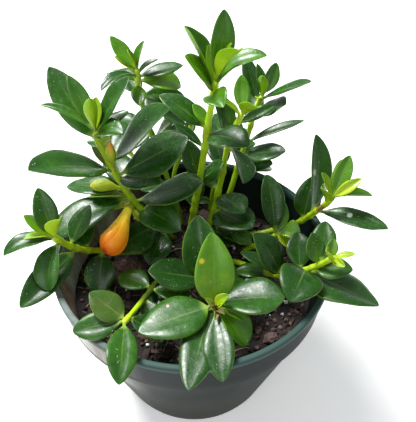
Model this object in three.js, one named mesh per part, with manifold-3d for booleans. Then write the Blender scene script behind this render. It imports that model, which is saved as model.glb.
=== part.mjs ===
// Goldfish plant (Nematanthus gregarius), a flowering house plant in a plastic nursery pot.
//
// Millimetres, +Z up. The origin is the middle of the pot's underside. The pot stands on Z = 0 and the
// flower and the most open shoots face -Y. Every leafy shoot is one solid: a tapered stem with its
// petioles, leaves, buds and calyxes joined to it. Its foot stands in a plain hole in the soil.
import * as THREE from 'three';
import { mergeVertices } from 'three/addons/utils/BufferGeometryUtils.js';
import Module from 'manifold-3d';

// ---------------------------------------------------------------- driving dimensions, mm and degrees
const GAP = 0.3;                 // free space between neighbouring pieces

const POT_HEIGHT = 106;
const RIM_RADIUS = 76;           // outside of the rolled lip
const BASE_RADIUS = 48;
const POT_WALL = 1.6;
const LIP_HEIGHT = 3.2;
const LIP_WIDTH = 3.4;
const COLLAR_DEPTH = 20;         // the wide band under the lip
const COLLAR_STEP = 1.6;         // the band stands this far out of the tapered body
const COLLAR_TOP_RADIUS = 74.6;
const COLLAR_FOOT_RADIUS = 73.4;
const FOOT_BEVEL = 2.4;          // rounded edge between base and body
const LIP_BEVEL = 0.9;
const POT_SIDES = 32;
const DRAIN_HOLES = 6;
const DRAIN_RADIUS = 4;
const DRAIN_RING = 37;           // the holes' distance from the pot's axis
const DRAIN_SIDES = 6;

const SOIL_TOP = 76;             // mean height of the soil's surface
const SOIL_RELIEF = 1.1;         // its low swells
const SWELL_X = 9;
const SWELL_Y = 11;
const SWELL_SLANT = 17;
const SOIL_RINGS = 2;

const STEM_SIDES = 5;
const STEM_STEP = 16;            // length of one straight stretch of a stem
const ROOT_CLEAR = 0.7;          // clearance round a stem in its hole

const BLADE = 0.8;               // thickness of a leaf
const PETIOLE_SHARE = 0.1;       // the part of a leaf's length that is its stalk
const PETIOLE_WIDTH = 1.7;
const PETIOLE_THICK = 1.3;
const ROOT_DEPTH = 0.8;          // a leaf's stalk starts this far past the stem's axis, in a point
const BLADE_FULLNESS = 0.66;     // below 1 the blade is fuller towards both ends
const LARGE_LEAF = 34;
const SMALL_LEAF = 16;
const LARGE_STATIONS = [0, 0.1, 0.3, 0.58, 0.86, 1];
const MEDIUM_STATIONS = [0, 0.13, 0.44, 0.8, 1];
const SMALL_STATIONS = [0, 0.2, 0.6, 1];

// ---------------------------------------------------------------- colours
const LEAF_GREEN = 0x2f5a34;
const POT_TEAL = 0x4d5f5a;
const SOIL_BROWN = 0x2b2420;
const COROLLA_ORANGE = 0xf08a24;
const BUD_ORANGE = 0xd9b52c;

// ---------------------------------------------------------------- shoots
// path: points of the stem from its foot in the soil to its tip. radius: at the foot and at the tip.
// leaves: [place along the stem 0-1, heading, pitch, length, width, bend, roll, fold]. Heading turns
// counter-clockwise from +X, pitch rises from the level, bend is the arc that the blade turns through,
// roll turns it about its length and fold lifts each half of it. A ninth number is the waist (see below).
const SHOOTS = [
  {
    name: 'shoot_left_tall',
    path: [[-11, 35, 62], [-14, 34, 78], [-31, 30, 106], [-41, 28, 131], [-48, 27, 155], [-49, 27, 164]],
    radius: [2, 1.5],
    leaves: [
      [0.92, 133, 36, 49, 19, 0, -10, 12, 0.9],
      [0.99, 128, 45, 32, 10, 16, 0, 20, 1.05],
      [1, 170, 24, 30, 7, 46, -5, 32, 1.1],
      [0.99, 85, 58, 18, 8, 10, 0, 30, 1.2],
      [0.93, -45, 40, 16, 8, 12, 0, 30, 1.2],
      [1, -80, 72, 25, 9, 10, 12, 38],
      [0.98, 36, 49, 34, 16, 14, -4, 19, 1.05],
      [0.96, -36, 29, 22, 17, 62, 14, 23],
      [0.99, 32, 18, 20, 12, 10, -6, 13],
      [0.74, -140, 29, 52, 28, 22, 0, 15, 1.1],
      [0.69, -33, 19, 31, 20, 12, 0, 16],
      [0.79, -3, 47, 50, 31, 5, 8, 20, 1.2],
      [0.71, 2, 32, 47, 28, 0, 14, 5, 1.15],
      [0.55, -151, -9, 49, 24, 34, 0, 10, 1.2],
      [0.6, 165, -8, 38, 18, 20, 0, 14],
      [0.44, -42, 7, 32, 22, 65, 16, 23, 0.95],
      [0.51, -12, 28, 46, 25, 8, 0, 6, 1.2],
      [0.29, -136, 0, 33, 24, 20, -4, 5],
      [0.22, -107, -6, 27, 19, 30, -5, 14],
      [0.45, 156, -10, 23, 14, 25, 0, 14],
      [0.8, 62, 14, 30, 17, 20, 0, 12],
      [0.6, 110, 8, 32, 18, 25, 0, 12],
      [0.54, -166, 14, 24, 11, 20, 20, 28],
      [0.74, 150, 42, 18, 8, 10, 0, 25],
    ],
  },
  {
    name: 'shoot_left_trailing',
    path: [[-15, 25, 62], [-22, 22, 78], [-40, 16, 84], [-54, 7, 95], [-62, -5, 110], [-70, -13, 127]],
    radius: [1.9, 1.6],
    leaves: [
      [1, 114, 54, 26, 13, 14, 0, 21, 0.85],
      [1, 165, 42, 18, 8, 20, -20, 26],
      [0.98, -39, 65, 21, 12, 28, -10, 32],
      [0.96, -155, 1, 27, 14, 62, 6, 27],
      [1, -160, 12, 14, 8, 33, 18, 32],
      [0.94, -100, -31, 26, 18, 54, 20, 26, 1.1],
      [0.79, -122, -5, 43, 17, 19, -28, 21],
      [0.85, 60, 35, 24, 13, 20, 0, 15],
      [0.55, -93, -28, 26, 18, 34, -5, 14, 0.95],
      [0.68, 115, 14, 22, 15, 25, 0, 12],
    ],
  },
  {
    name: 'shoot_centre_tall',
    path: [[-4, 32, 62], [-3, 34, 80], [4, 37, 124], [9, 36, 165], [12.5, 35, 188]],
    radius: [2.2, 1.6],
    leaves: [
      [1, 68, 74, 34, 13, 30, 36, 20, 1.05],
      [0.97, 153, 60, 33, 16, 14, 11, 38],
      [0.98, 110, 62, 20, 8, 10, 0, 30, 1.2],
      [1, -62, 50, 35, 12, 42, -12, 34, 1.05],
      [0.97, 3, 34, 30, 15, 65, 0, 25],
      [0.94, -164, 58, 27, 17, 34, -18, 12, 1.05],
      [0.94, -76, 12, 19, 14, 46, 28, 25],
      [0.76, 159, 30, 31, 14, 34, -15, 16],
      [0.78, 150, 50, 14, 9, 10, 0, 15],
      [0.66, 155, 32, 22, 7, 18, -9, 14, 1.05],
      [0.73, -40, 13, 29, 20, 35, 6, 13, 0.95],
      [0.48, 130, 60, 25, 13, 10, -10, 10],
      [0.46, 10, 46, 20, 14, 0, 8, 6, 1.1],
      [0.985, -10, 72, 24, 7, 10, 0, 34],
      [0.42, 120, 45, 18, 9, 15, 30, 12],
      [0.36, -25, 12, 9.5, 7, 20, 0, 15],
      [0.3, 95, 10, 28, 16, 25, 0, 15],
    ],
  },
  {
    name: 'shoot_back_left',
    path: [[-7, 46, 62], [-9, 49, 80], [-22, 63, 123], [-30, 66, 158], [-30, 65, 178]],
    radius: [1.9, 1.3],
    leaves: [
      [0.99, 145, 41, 23, 10, 0, -7, 8, 1.05],
      [1, 58, 58, 15, 9, 22, -30, 26],
      [0.98, 159, 28, 15, 6, 5, -14, 33],
      [0.99, 175, 70, 13, 6, 10, 0, 30],
      [0.97, 20, 29, 14, 6, 42, -6, 21],
      [0.93, 170, 10, 18, 9, 30, 0, 20],
      [0.95, -127, 11, 28, 9, 80, 0, 19],
      [0.93, 15, -14, 25, 20, 46, 18, 20, 1.15],
      [0.85, 12, -8, 26, 13, 30, 30, 10],
      [0.955, 14, 8, 26, 12, 10, 10, 12],
      [0.91, -83, -9, 17, 9, 32, -5, 15],
      [0.6, -8, 52, 27, 14, 15, 8, 14],
      [0.72, 15, 22, 27, 14, 25, 0, 14],
      [0.45, 178, 5, 18, 12, 25, 0, 14],
      [0.5, 60, 10, 28, 15, 25, 0, 14],
      [0.84, 120, 10, 28, 15, 25, 0, 15],
      [0.7, 75, 5, 32, 17, 25, 0, 15],
      [0.64, 150, 0, 32, 17, 25, 0, 15],
    ],
  },
  {
    name: 'shoot_inner_left',
    path: [[-16, 43, 62], [-15, 46, 80], [-12, 52, 114], [-6, 52, 132], [-1, 52, 150]],
    radius: [1.7, 1.1],
    leaves: [
      [0.95, 170, 35, 20, 13, 20, 0, 15],
      [0.9, 80, 20, 12, 8, 20, 0, 15],
      [0.99, 25, 45, 12, 7, 10, 0, 20],
      [1, 140, 60, 12, 6, 10, 0, 20],
      [0.8, -166, 58, 18, 11, 15, 0, 12],
      [0.3, -160, 8, 20, 13, 25, 0, 14],
      [0.72, 100, 15, 26, 15, 25, 0, 15],
      [0.5, -165, 0, 20, 14, 25, 0, 15],
    ],
  },
  {
    name: 'shoot_back_middle',
    path: [[7, 38, 62], [9, 39, 80], [16, 43, 115], [20, 45, 142], [27, 45, 163]],
    radius: [2, 1.4],
    leaves: [
      [1, 93, 52, 20, 9, 10, -6, 15, 0.95],
      [0.99, -60, 42, 18, 14, 5, -25, 30],
      [0.98, 170, 40, 13, 6, 10, 0, 30],
      [0.92, 22, 17, 24, 7, 10, 34, 18],
      [0.8, 160, 72, 32, 14, 12, 0, 12],
      [0.86, 115, 60, 20, 8, 10, 0, 15],
      [0.77, -70, -20, 25, 20, 54, -38, 25, 1.05],
      [0.43, -51, 7, 24, 20, 36, -5, 12, 1.05],
      [0.33, -48, 14, 34, 25, 6, 0, 8, 0.9],
      [0.24, -36, -4, 29, 15, 20, 0, 14],
      [0.18, -45, 4, 22, 14, 25, 0, 14],
      [0.6, 100, 12, 28, 15, 25, 0, 14],
      [0.46, 130, 8, 28, 15, 25, 0, 14],
      [0.76, 110, 10, 26, 15, 25, 0, 15],
    ],
  },
  {
    name: 'shoot_back_right',
    path: [[15, 47, 62], [18, 52, 80], [28, 65, 112], [36, 68, 148], [39.5, 68, 159]],
    radius: [2, 1.4],
    leaves: [
      [0.99, 114, 65, 19, 8, 22, 16, 22],
      [1, 54, 48, 20, 10, 30, 45, 24, 1.05],
      [1, -110, 78, 15, 7, 14, 0, 20],
      [0.97, -100, 35, 12, 6, 30, 0, 20],
      [0.97, -37, 37, 38, 12, 12, 7, 12],
      [0.89, -45, 35, 26, 19, 5, 16, 8, 1.1],
      [0.94, 114, 50, 29, 10, 5, -10, 10],
      [0.67, 9, 20, 38, 8, 22, 0, 12],
      [0.59, -21, 21, 29, 17, 5, 8, 8, 0.9],
      [0.53, -8, 6, 21, 14, 14, 20, 14],
      [0.5, 25, -20, 27, 15, 20, 0, 12],
      [0.22, -12, -2, 20, 12, 20, 0, 12],
      [0.8, 85, 15, 28, 15, 25, 0, 15],
      [0.68, 130, 10, 30, 16, 25, 0, 15],
    ],
  },
  {
    name: 'shoot_right',
    path: [[20, 30, 62], [24, 30, 79], [46, 32, 85], [61, 27, 97], [70, 16, 119], [75, 12.5, 131]],
    radius: [2, 1.5],
    leaves: [
      [0.76, 86, 56, 46, 17, 38, 36, 26],
      [0.67, 68, 63, 27, 16, 26, 10, 16, 0.85],
      [0.97, 66, 44, 23, 11, 18, 34, 28, 1.1],
      [1, 56, 51, 24, 11, 8, 18, 29],
      [1, 150, 60, 16, 7, 6, 0, 20],
      [1, 12, 36, 18, 7, 30, 40, 27],
      [1, -1, 4, 21, 9, 40, -10, 22],
      [0.94, -150, 66, 15, 12, 30, -10, 36],
      [0.84, -32, 10, 40, 15, 12, 0, 16],
    ],
  },
  {
    name: 'shoot_right_inner',
    path: [[29, 22, 62], [31, 21, 79], [40, 18.5, 89], [49, 19.5, 95.5]],
    radius: [1.8, 1.2],
    leaves: [
      [0.97, 102, 47, 36, 16, 36, 3, 23, 1.05],
      [1, -16, 2, 14, 20, 10, 0, 42],
      [0.99, -52, -4, 15, 9, 20, 0, 34],
      [0.6, 150, 15, 16, 13, 30, 0, 15],
      [0.45, -50, -2, 18, 11, 20, 0, 12],
      [1, 75, 34, 20, 10, 15, 30, 30],
    ],
  },
  {
    name: 'shoot_right_low',
    path: [[18, 18, 62], [22, 13, 79], [46, -12, 96], [62, -21, 113], [70, -25, 125]],
    radius: [2, 1.2],
    leaves: [
      [0.89, 119, 61, 18, 12, 5, 0, 11],
      [0.91, 79, 27, 23, 13, 25, 0, 12],
      [0.97, 71, 52, 11, 7, 15, 15, 26],
      [0.98, -140, 62, 11, 8, 19, -22, 28],
      [1, 0, 15, 11, 5, 10, 0, 20],
      [0.99, -59, 18, 10, 5, 21, 35, 30],
      [0.85, -12, 8, 20, 15, 10, 5, 10, 0.7],
      [0.79, -113, 13, 28, 23, 72, -12, 12, 0.9],
      [0.77, -33, 1, 42, 30, 8, -14, 6, 0.75],
      [0.61, 149, 53, 29, 18, 43, -7, 18, 0.85],
      [0.76, 90, 25, 22, 14, 10, 0, 10],
      [0.52, 170, -5, 18, 13, 23, 12, 11, 0.95],
      [0.58, 154, 21, 23, 11, 34, 14, 14],
    ],
  },
  {
    name: 'shoot_front',
    path: [[4, 17, 62], [5, 8, 79], [9, -20, 99], [12, -46, 111]],
    radius: [2, 1.4],
    leaves: [
      [0.97, 94, 54, 37, 21, 20, 11, 17, 0.7],
      [0.95, -156, 1, 39, 25, 8, 0, 6, 0.85],
      [1, -85, -8, 36, 15, 12, 12, 13, 1.1],
      [0.86, -102, 1, 52, 18, 4, -4, 4],
      [0.93, -2, 11, 35, 25, 19, -6, 14, 1.15],
      [0.98, 0, -30, 20, 15, 40, -14, 19, 1.1],
      [1, 20, 50, 11, 8, 20, 0, 40],
      [0.96, -48, -26, 24, 20, 42, -12, 36, 1.15],
      [0.8, -38, -22, 28, 12, 20, 0, 15],
      [0.64, 106, 56, 37, 24, 42, -18, 30, 0.75],
      [0.58, -175, 18, 33, 21, 5, -10, 9, 0.95],
      [0.7, 0, -12, 26, 15, 20, 0, 12],
      [0.42, 6, -10, 22, 13, 20, 0, 12],
    ],
  },
  {
    name: 'shoot_front_left',
    path: [[-12, 14, 62], [-15, 7, 79], [-25, -30, 98], [-31.5, -53, 110]],
    radius: [1.8, 1.3],
    leaves: [
      [0.97, 152, 26, 22, 16, 5, 0, 6, 0.8],
      [0.98, -169, -3, 25, 14, 16, -18, 10],
      [0.99, -88, 1, 33, 15, 27, -12, 12],
      [0.94, -12, -32, 16, 12, 20, 0, 12],
      [0.55, 150, -5, 22, 16, 20, 0, 12],
      [0.67, -68, -15, 26, 15, 20, 0, 12],
      [0.57, -8, 0, 22, 14, 20, 0, 12],
      [0.4, -100, -4, 22, 14, 20, 0, 12],
    ],
  },
  {
    name: 'shoot_rear_left',
    path: [[-18, 53, 62], [-23, 57, 84], [-33, 62, 108], [-40, 71, 115], [-47, 81, 113]],
    radius: [1.8, 1.2],
    leaves: [
      [0.99, 125, -5, 26, 15, 25, 0, 15],
      [0.98, -175, 5, 20, 13, 25, 0, 15],
      [0.97, 60, 0, 24, 14, 25, 0, 15],
      [0.85, 170, 10, 28, 16, 25, 0, 15],
      [0.84, 70, 10, 28, 16, 25, 0, 15],
    ],
  },
  {
    name: 'shoot_rear_right',
    path: [[9, 59, 62], [11, 62, 84], [15, 65, 107], [19, 72, 115], [25, 84, 113]],
    radius: [1.8, 1.2],
    leaves: [
      [0.99, 70, -10, 26, 15, 25, 0, 15],
      [0.98, 140, 0, 24, 14, 25, 0, 15],
      [0.92, -5, -15, 20, 12, 25, 0, 15],
      [0.84, 120, 10, 24, 14, 25, 0, 15],
      [0.85, 20, 0, 20, 13, 25, 0, 15],
    ],
  },
];

// The flower and the buds sit on this shoot.
const FLOWERING_SHOOT = 'shoot_left_tall';
const FLOWER_STALK = [[-33, 30, 110], [-35, 29.2, 111.2], [-36.9, 28.4, 110.7]];
const CALYX_CUP = [[-36.5, 29, 110.9], [-37.45, 25.95, 109.95]];
const CALYX_CUP_RADII = [[0, 1.6], [0.4, 3], [1, 3.3]];
const COROLLA_AXIS = [
  [-37.6, 25.5, 109.8], [-39.8, 18, 108], [-43, 9, 104.8], [-46, 5, 102.5], [-50, 2.5, 100],
];
const COROLLA_RADII = [
  [0, 2.4], [0.12, 2.7], [0.3, 4], [0.5, 5.8], [0.68, 7.3], [0.82, 7.6], [0.93, 5.8], [1, 2.6],
];
const MOUTH_DEPTH = 2.2;
const MOUTH_RADIUS = 1.7;
const BUD_STALK = [[-42.5, 27.7, 135.5], [-42.4, 25.6, 140], [-42.3, 24.2, 145.4]];
const BUD_AXIS = [[-42.3, 24.1, 145.7], [-42.4, 23.8, 153], [-41.9, 23.8, 159.6]];
const BUD_RADII = [[0, 1.4], [0.25, 2.5], [0.5, 2.8], [0.75, 2], [1, 0.5]];
const CLOSED_BUD_AXIS = [[-38.2, 28.5, 123], [-43.5, 28.3, 124.6], [-50, 28.6, 125.6], [-57.6, 29, 124.6]];
const CLOSED_BUD_RADII = [[0, 0.8], [0.25, 1], [0.4, 2.6], [0.65, 3.6], [0.88, 2.9], [1, 0.9]];
// Sepals of the open flower and of the spent calyx, in the leaves' own terms: [root point, then
// heading, pitch, length, width, bend, roll, fold].
const SEPALS = [
  [[-36.8, 26.9, 111.4], -175, -6, 13, 4.6, 10, 0, 20],
  [[-35.4, 27.2, 109.6], -50, -42, 9, 4.6, 15, 0, 20],
  [[-36.8, 26.9, 111.4], 120, -15, 9, 4, 15, 0, 20],
  [[-36.8, 27.4, 112.2], -80, 45, 7, 3.6, 15, 0, 20],
];

const rad = THREE.MathUtils.degToRad;
const point = (p) => new THREE.Vector3(...p);

// Straight-line reading of a table of [place, value] pairs.
function valueAt(table, place) {
  for (let i = 1; i < table.length; i += 1) {
    const [p0, v0] = table[i - 1];
    const [p1, v1] = table[i];
    if (place <= p1) return v0 + ((v1 - v0) * (place - p0)) / (p1 - p0);
  }
  return table[table.length - 1][1];
}

// ---------------------------------------------------------------- solids
const wasm = await Module();
wasm.setup();

// Six times the signed volume: negative when the faces point inwards.
function signedVolume(positions, index) {
  const [a, b, c] = [new THREE.Vector3(), new THREE.Vector3(), new THREE.Vector3()];
  let sum = 0;
  for (let i = 0; i < index.length; i += 3) {
    a.fromArray(positions, index[i] * 3);
    b.fromArray(positions, index[i + 1] * 3);
    c.fromArray(positions, index[i + 2] * 3);
    sum += a.dot(b.cross(c));
  }
  return sum;
}

// Skins a row of equal rings into a closed solid. hub is the ring point that the end faces fan from, and
// flipped(i) says which side of the ring gets the other diagonal. An end ring may be a single point.
function loft(rings, hub = 0, flipped = () => false) {
  const sides = rings[0].length;
  const positions = rings.flat().flatMap((v) => v.toArray());
  const index = [];
  for (let k = 0; k + 1 < rings.length; k += 1) {
    for (let i = 0; i < sides; i += 1) {
      const a = k * sides + i;
      const b = k * sides + ((i + 1) % sides);
      const c = b + sides;
      const d = a + sides;
      if (flipped(i)) index.push(a, b, d, b, c, d);
      else index.push(a, b, c, a, c, d);
    }
  }
  const last = (rings.length - 1) * sides;
  for (let i = 1; i + 1 < sides; i += 1) {
    const p = (hub + i) % sides;
    const q = (hub + i + 1) % sides;
    index.push(hub, q, p);
    index.push(last + hub, last + p, last + q);
  }
  if (signedVolume(positions, index) < 0) index.reverse();
  const geometry = new THREE.BufferGeometry();
  geometry.setAttribute('position', new THREE.Float32BufferAttribute(positions, 3));
  geometry.setIndex(index);
  return geometry;
}

function toSolid(geometry) {
  const bare = geometry.clone();
  bare.deleteAttribute('normal');
  bare.deleteAttribute('uv');
  const merged = mergeVertices(bare, 1e-4);
  const index = merged.index.array;
  const kept = [];
  for (let i = 0; i < index.length; i += 3) {
    const [a, b, c] = index.slice(i, i + 3);
    if (a !== b && b !== c && c !== a) kept.push(a, b, c);
  }
  return new wasm.Manifold(new wasm.Mesh({
    numProp: 3,
    vertProperties: new Float32Array(merged.attributes.position.array),
    triVerts: new Uint32Array(kept),
  }));
}

// Where leaf bases crowd round a tip they can shut in a small void. Only the outer skin is kept, so that
// the shoot is solid there.
function withoutVoids(geometry) {
  const positions = geometry.attributes.position.array;
  const index = Array.from(geometry.index.array);
  const owner = Array.from({ length: positions.length / 3 }, (_, i) => i);
  const find = (i) => {
    let root = i;
    while (owner[root] !== root) root = owner[root];
    return root;
  };
  for (let i = 0; i < index.length; i += 3) {
    owner[find(index[i])] = find(index[i + 1]);
    owner[find(index[i + 1])] = find(index[i + 2]);
  }
  const skins = new Map();
  for (let i = 0; i < index.length; i += 3) {
    const key = find(index[i]);
    skins.set(key, [...(skins.get(key) ?? []), index[i], index[i + 1], index[i + 2]]);
  }
  const outer = [...skins.values()].filter((skin) => signedVolume(positions, skin) > 0);
  geometry.setIndex(outer.flat());
  return geometry;
}

function toGeometry(solid) {
  const mesh = solid.getMesh();
  const geometry = new THREE.BufferGeometry();
  geometry.setAttribute('position', new THREE.Float32BufferAttribute(mesh.vertProperties, 3));
  geometry.setIndex(Array.from(mesh.triVerts));
  return withoutVoids(mergeVertices(geometry, 1e-4));
}

// A smooth line through hand-set points.
const lineThrough = (points) => new THREE.CatmullRomCurve3(points.map(point), false, 'catmullrom', 0.5);

// A round solid along a line. radiusAt gives its radius at a place 0-1 along it.
function roundSolid(curve, places, sides, radiusAt) {
  const frames = curve.computeFrenetFrames(places.length - 1, false);
  const rings = places.map((place, k) => {
    const centre = curve.getPointAt(place);
    return Array.from({ length: sides }, (_, i) => {
      const angle = (2 * Math.PI * i) / sides;
      return centre.clone()
        .addScaledVector(frames.normals[k], Math.cos(angle) * radiusAt(place))
        .addScaledVector(frames.binormals[k], Math.sin(angle) * radiusAt(place));
    });
  });
  return loft(rings);
}

const evenPlaces = (count) => Array.from({ length: count + 1 }, (_, i) => i / count);

// ---------------------------------------------------------------- leaves
// Half width of a blade, 1 at its widest: nothing on the stalk, full through the middle, a short point. A
// waist above 1 moves the widest part towards the tip, one below 1 towards the stalk.
function bladeOutline(place, waist) {
  const x = Math.max(place - PETIOLE_SHARE, 0) / (1 - PETIOLE_SHARE);
  return Math.max(Math.sin(Math.PI * Math.min(x, 1) ** waist), 0) ** BLADE_FULLNESS;
}

// A leaf as one thin closed blade on a short stalk, from its root on the stem's axis to a pointed tip. The
// blade arches over its length and its halves fold up from the midrib. Both faces are split alike.
function leafSolid(root, [heading, pitch, length, width, bend, roll, fold, waist = 1]) {
  const [h, p] = [rad(heading), rad(pitch)];
  const along = new THREE.Vector3(Math.cos(p) * Math.cos(h), Math.cos(p) * Math.sin(h), Math.sin(p));
  const level = new THREE.Vector3(-Math.sin(p) * Math.cos(h), -Math.sin(p) * Math.sin(h), Math.cos(p));
  const across = along.clone().cross(level);
  const up = level.clone().multiplyScalar(Math.cos(rad(roll))).addScaledVector(across, Math.sin(rad(roll)));
  const side = along.clone().cross(up);
  const arc = Math.max(rad(bend), 0.001);
  const bow = length / (2 * Math.sin(arc / 2));
  let stations = MEDIUM_STATIONS;
  if (length >= LARGE_LEAF) stations = LARGE_STATIONS;
  if (length < SMALL_LEAF) stations = SMALL_STATIONS;
  const rings = stations.map((place) => {
    const turn = (place - 0.5) * arc;
    const centre = root.clone()
      .addScaledVector(along, length / 2 + bow * Math.sin(turn))
      .addScaledVector(up, bow * (Math.cos(turn) - Math.cos(arc / 2)));
    const lift = up.clone().multiplyScalar(Math.cos(turn)).addScaledVector(along, Math.sin(turn));
    if (place === 1) return Array(6).fill(centre);
    if (place === 0) return Array(6).fill(centre.addScaledVector(along, -ROOT_DEPTH));
    const onStalk = place <= PETIOLE_SHARE + 0.001;
    const half = Math.max((width / 2) * bladeOutline(place, waist), PETIOLE_WIDTH / 2);
    const thick = onStalk ? PETIOLE_THICK : BLADE;
    const left = centre.clone().addScaledVector(side, -half * Math.cos(rad(fold)));
    const right = centre.clone().addScaledVector(side, half * Math.cos(rad(fold)));
    left.addScaledVector(lift, half * Math.sin(rad(fold)));
    right.addScaledVector(lift, half * Math.sin(rad(fold)));
    const raised = (v, t) => v.clone().addScaledVector(lift, t);
    return [
      raised(left, thick / 2), raised(centre, thick / 2), raised(right, thick / 2),
      raised(right, -thick / 2), raised(centre, -thick / 2), raised(left, -thick / 2),
    ];
  });
  return toSolid(loft(rings, 1, (i) => i === 3 || i === 4));
}

// ---------------------------------------------------------------- shoots
function stemSolid(path, radius, extra = 0) {
  const curve = lineThrough(path);
  const places = evenPlaces(Math.ceil(curve.getLength() / STEM_STEP));
  const [foot, tip] = radius;
  return toSolid(roundSolid(curve, places, STEM_SIDES, (place) => foot + (tip - foot) * place + extra));
}

function pod(axis, radii, steps = 6, sides = 6) {
  return toSolid(roundSolid(lineThrough(axis), evenPlaces(steps), sides, (place) => valueAt(radii, place)));
}

function floweringParts() {
  const stalk = (line) => pod(line, [[0, 1], [1, 1.1]], 2);
  const sepals = SEPALS.map(([root, ...leaf]) => leafSolid(point(root), leaf));
  return [
    stalk(FLOWER_STALK),
    pod(CALYX_CUP, CALYX_CUP_RADII, 2, 8),
    stalk(BUD_STALK),
    pod(CLOSED_BUD_AXIS, CLOSED_BUD_RADII),
    ...sepals,
  ];
}

function shootSolid({ name, path, radius, leaves }) {
  const curve = lineThrough(path);
  const parts = [stemSolid(path, radius)];
  leaves.forEach(([place, ...leaf]) => parts.push(leafSolid(curve.getPointAt(place), leaf)));
  if (name === FLOWERING_SHOOT) parts.push(...floweringParts());
  return parts.reduce((whole, part) => whole.add(part));
}

// ---------------------------------------------------------------- flower
function flowerSolid() {
  const curve = lineThrough(COROLLA_AXIS);
  const pouch = toSolid(roundSolid(curve, evenPlaces(9), 10, (place) => valueAt(COROLLA_RADII, place)));
  const end = curve.getPointAt(1);
  const inward = curve.getTangentAt(1).negate();
  const pit = [end.clone().addScaledVector(inward, MOUTH_DEPTH), end.clone().addScaledVector(inward, -1)];
  const mouth = new THREE.LineCurve3(...pit);
  return pouch.subtract(toSolid(roundSolid(mouth, [0, 1], 8, () => MOUTH_RADIUS)));
}

// ---------------------------------------------------------------- pot and soil
const bodyTop = POT_HEIGHT - LIP_HEIGHT - COLLAR_DEPTH;
const bodyRadius = (z) => BASE_RADIUS + ((COLLAR_FOOT_RADIUS - COLLAR_STEP - BASE_RADIUS) * z) / bodyTop;
const innerRadius = (z) => bodyRadius(z) - POT_WALL;
const FLOOR_EDGE = POT_WALL + FOOT_BEVEL;  // height where the inner wall meets the floor's bevel

const turned = (profile) => new THREE.LatheGeometry(
  profile.map(([r, z]) => new THREE.Vector2(r, z)), POT_SIDES,
).rotateX(Math.PI / 2);

function potSolid() {
  const lipFoot = POT_HEIGHT - LIP_HEIGHT;
  const lipInner = RIM_RADIUS - LIP_WIDTH;
  const profile = [
    [0, 0], [BASE_RADIUS - FOOT_BEVEL / 1.5, 0], [bodyRadius(FOOT_BEVEL), FOOT_BEVEL],
    [bodyRadius(bodyTop), bodyTop], [COLLAR_FOOT_RADIUS, bodyTop + 1], [COLLAR_TOP_RADIUS, lipFoot],
    [RIM_RADIUS, lipFoot], [RIM_RADIUS, POT_HEIGHT - LIP_BEVEL],
    [RIM_RADIUS - LIP_BEVEL, POT_HEIGHT], [lipInner, POT_HEIGHT],
    [COLLAR_FOOT_RADIUS - POT_WALL, bodyTop + 2.4], [innerRadius(bodyTop), bodyTop - 0.6],
    [innerRadius(FLOOR_EDGE), FLOOR_EDGE], [innerRadius(0) - FOOT_BEVEL / 2, POT_WALL], [0, POT_WALL],
  ];
  let pot = toSolid(turned(profile));
  for (let i = 0; i < DRAIN_HOLES; i += 1) {
    const angle = (2 * Math.PI * (i + 0.5)) / DRAIN_HOLES;
    const hole = new THREE.CylinderGeometry(DRAIN_RADIUS, DRAIN_RADIUS, 4 * POT_WALL, DRAIN_SIDES);
    hole.rotateX(Math.PI / 2).translate(DRAIN_RING * Math.cos(angle), DRAIN_RING * Math.sin(angle), 0);
    pot = pot.subtract(toSolid(hole));
  }
  return pot;
}

// Low swells of the soil's surface, level with the wall at the rim of the soil.
function soilHeight(x, y) {
  const fade = 1 - (Math.hypot(x, y) / innerRadius(SOIL_TOP)) ** 4;
  const swell = Math.sin(x / SWELL_X) * Math.cos(y / SWELL_Y) + Math.sin((x + y) / SWELL_SLANT);
  return SOIL_TOP + SOIL_RELIEF * fade * swell;
}

function soilSolid() {
  const profile = [
    [0, POT_WALL + GAP],
    [innerRadius(0) - FOOT_BEVEL / 2 - GAP, POT_WALL + GAP],
    [innerRadius(FLOOR_EDGE) - GAP, FLOOR_EDGE],
  ];
  for (let i = SOIL_RINGS; i >= 0; i -= 1) {
    profile.push([((innerRadius(SOIL_TOP) - GAP) * i) / SOIL_RINGS, SOIL_TOP]);
  }
  const plug = turned(profile);
  const spots = plug.attributes.position;
  for (let i = 0; i < spots.count; i += 1) {
    if (spots.getZ(i) > SOIL_TOP - 0.01) spots.setZ(i, soilHeight(spots.getX(i), spots.getY(i)));
  }
  let soil = toSolid(plug);
  SHOOTS.forEach(({ path, radius }) => {
    const deeper = path.map(([x, y, z]) => [x, y, z - ROOT_CLEAR / 2]);
    soil = soil.subtract(stemSolid(deeper, radius, ROOT_CLEAR));
  });
  return soil;
}

// ---------------------------------------------------------------- the plant
const plant = new THREE.Group();

function place(name, solid, color, roughness, origin = [0, 0, 0]) {
  const geometry = toGeometry(solid).translate(-origin[0], -origin[1], -origin[2]);
  geometry.computeVertexNormals();
  const material = new THREE.MeshStandardMaterial({ color, roughness, metalness: 0 });
  const mesh = new THREE.Mesh(geometry, material);
  mesh.name = name;
  mesh.position.set(...origin);
  plant.add(mesh);
}

place('pot', potSolid(), POT_TEAL, 0.55);
place('soil', soilSolid(), SOIL_BROWN, 0.95);
SHOOTS.forEach((shoot) => place(shoot.name, shootSolid(shoot), LEAF_GREEN, 0.35, shoot.path[0]));
place('flower', flowerSolid(), COROLLA_ORANGE, 0.45, COROLLA_AXIS[0]);
place('flower_bud', pod(BUD_AXIS, BUD_RADII, 6, 8), BUD_ORANGE, 0.45, BUD_AXIS[0]);

export default plant;
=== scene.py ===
"""Goldfish plant in a plastic nursery pot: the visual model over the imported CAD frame.

Metres, +Z up, origin under the middle of the pot, front of the plant towards -Y. The sections follow the
order in which the real thing is put together: pot, potting mix, shoots, flower and buds, then the studio.
"""

import math

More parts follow.
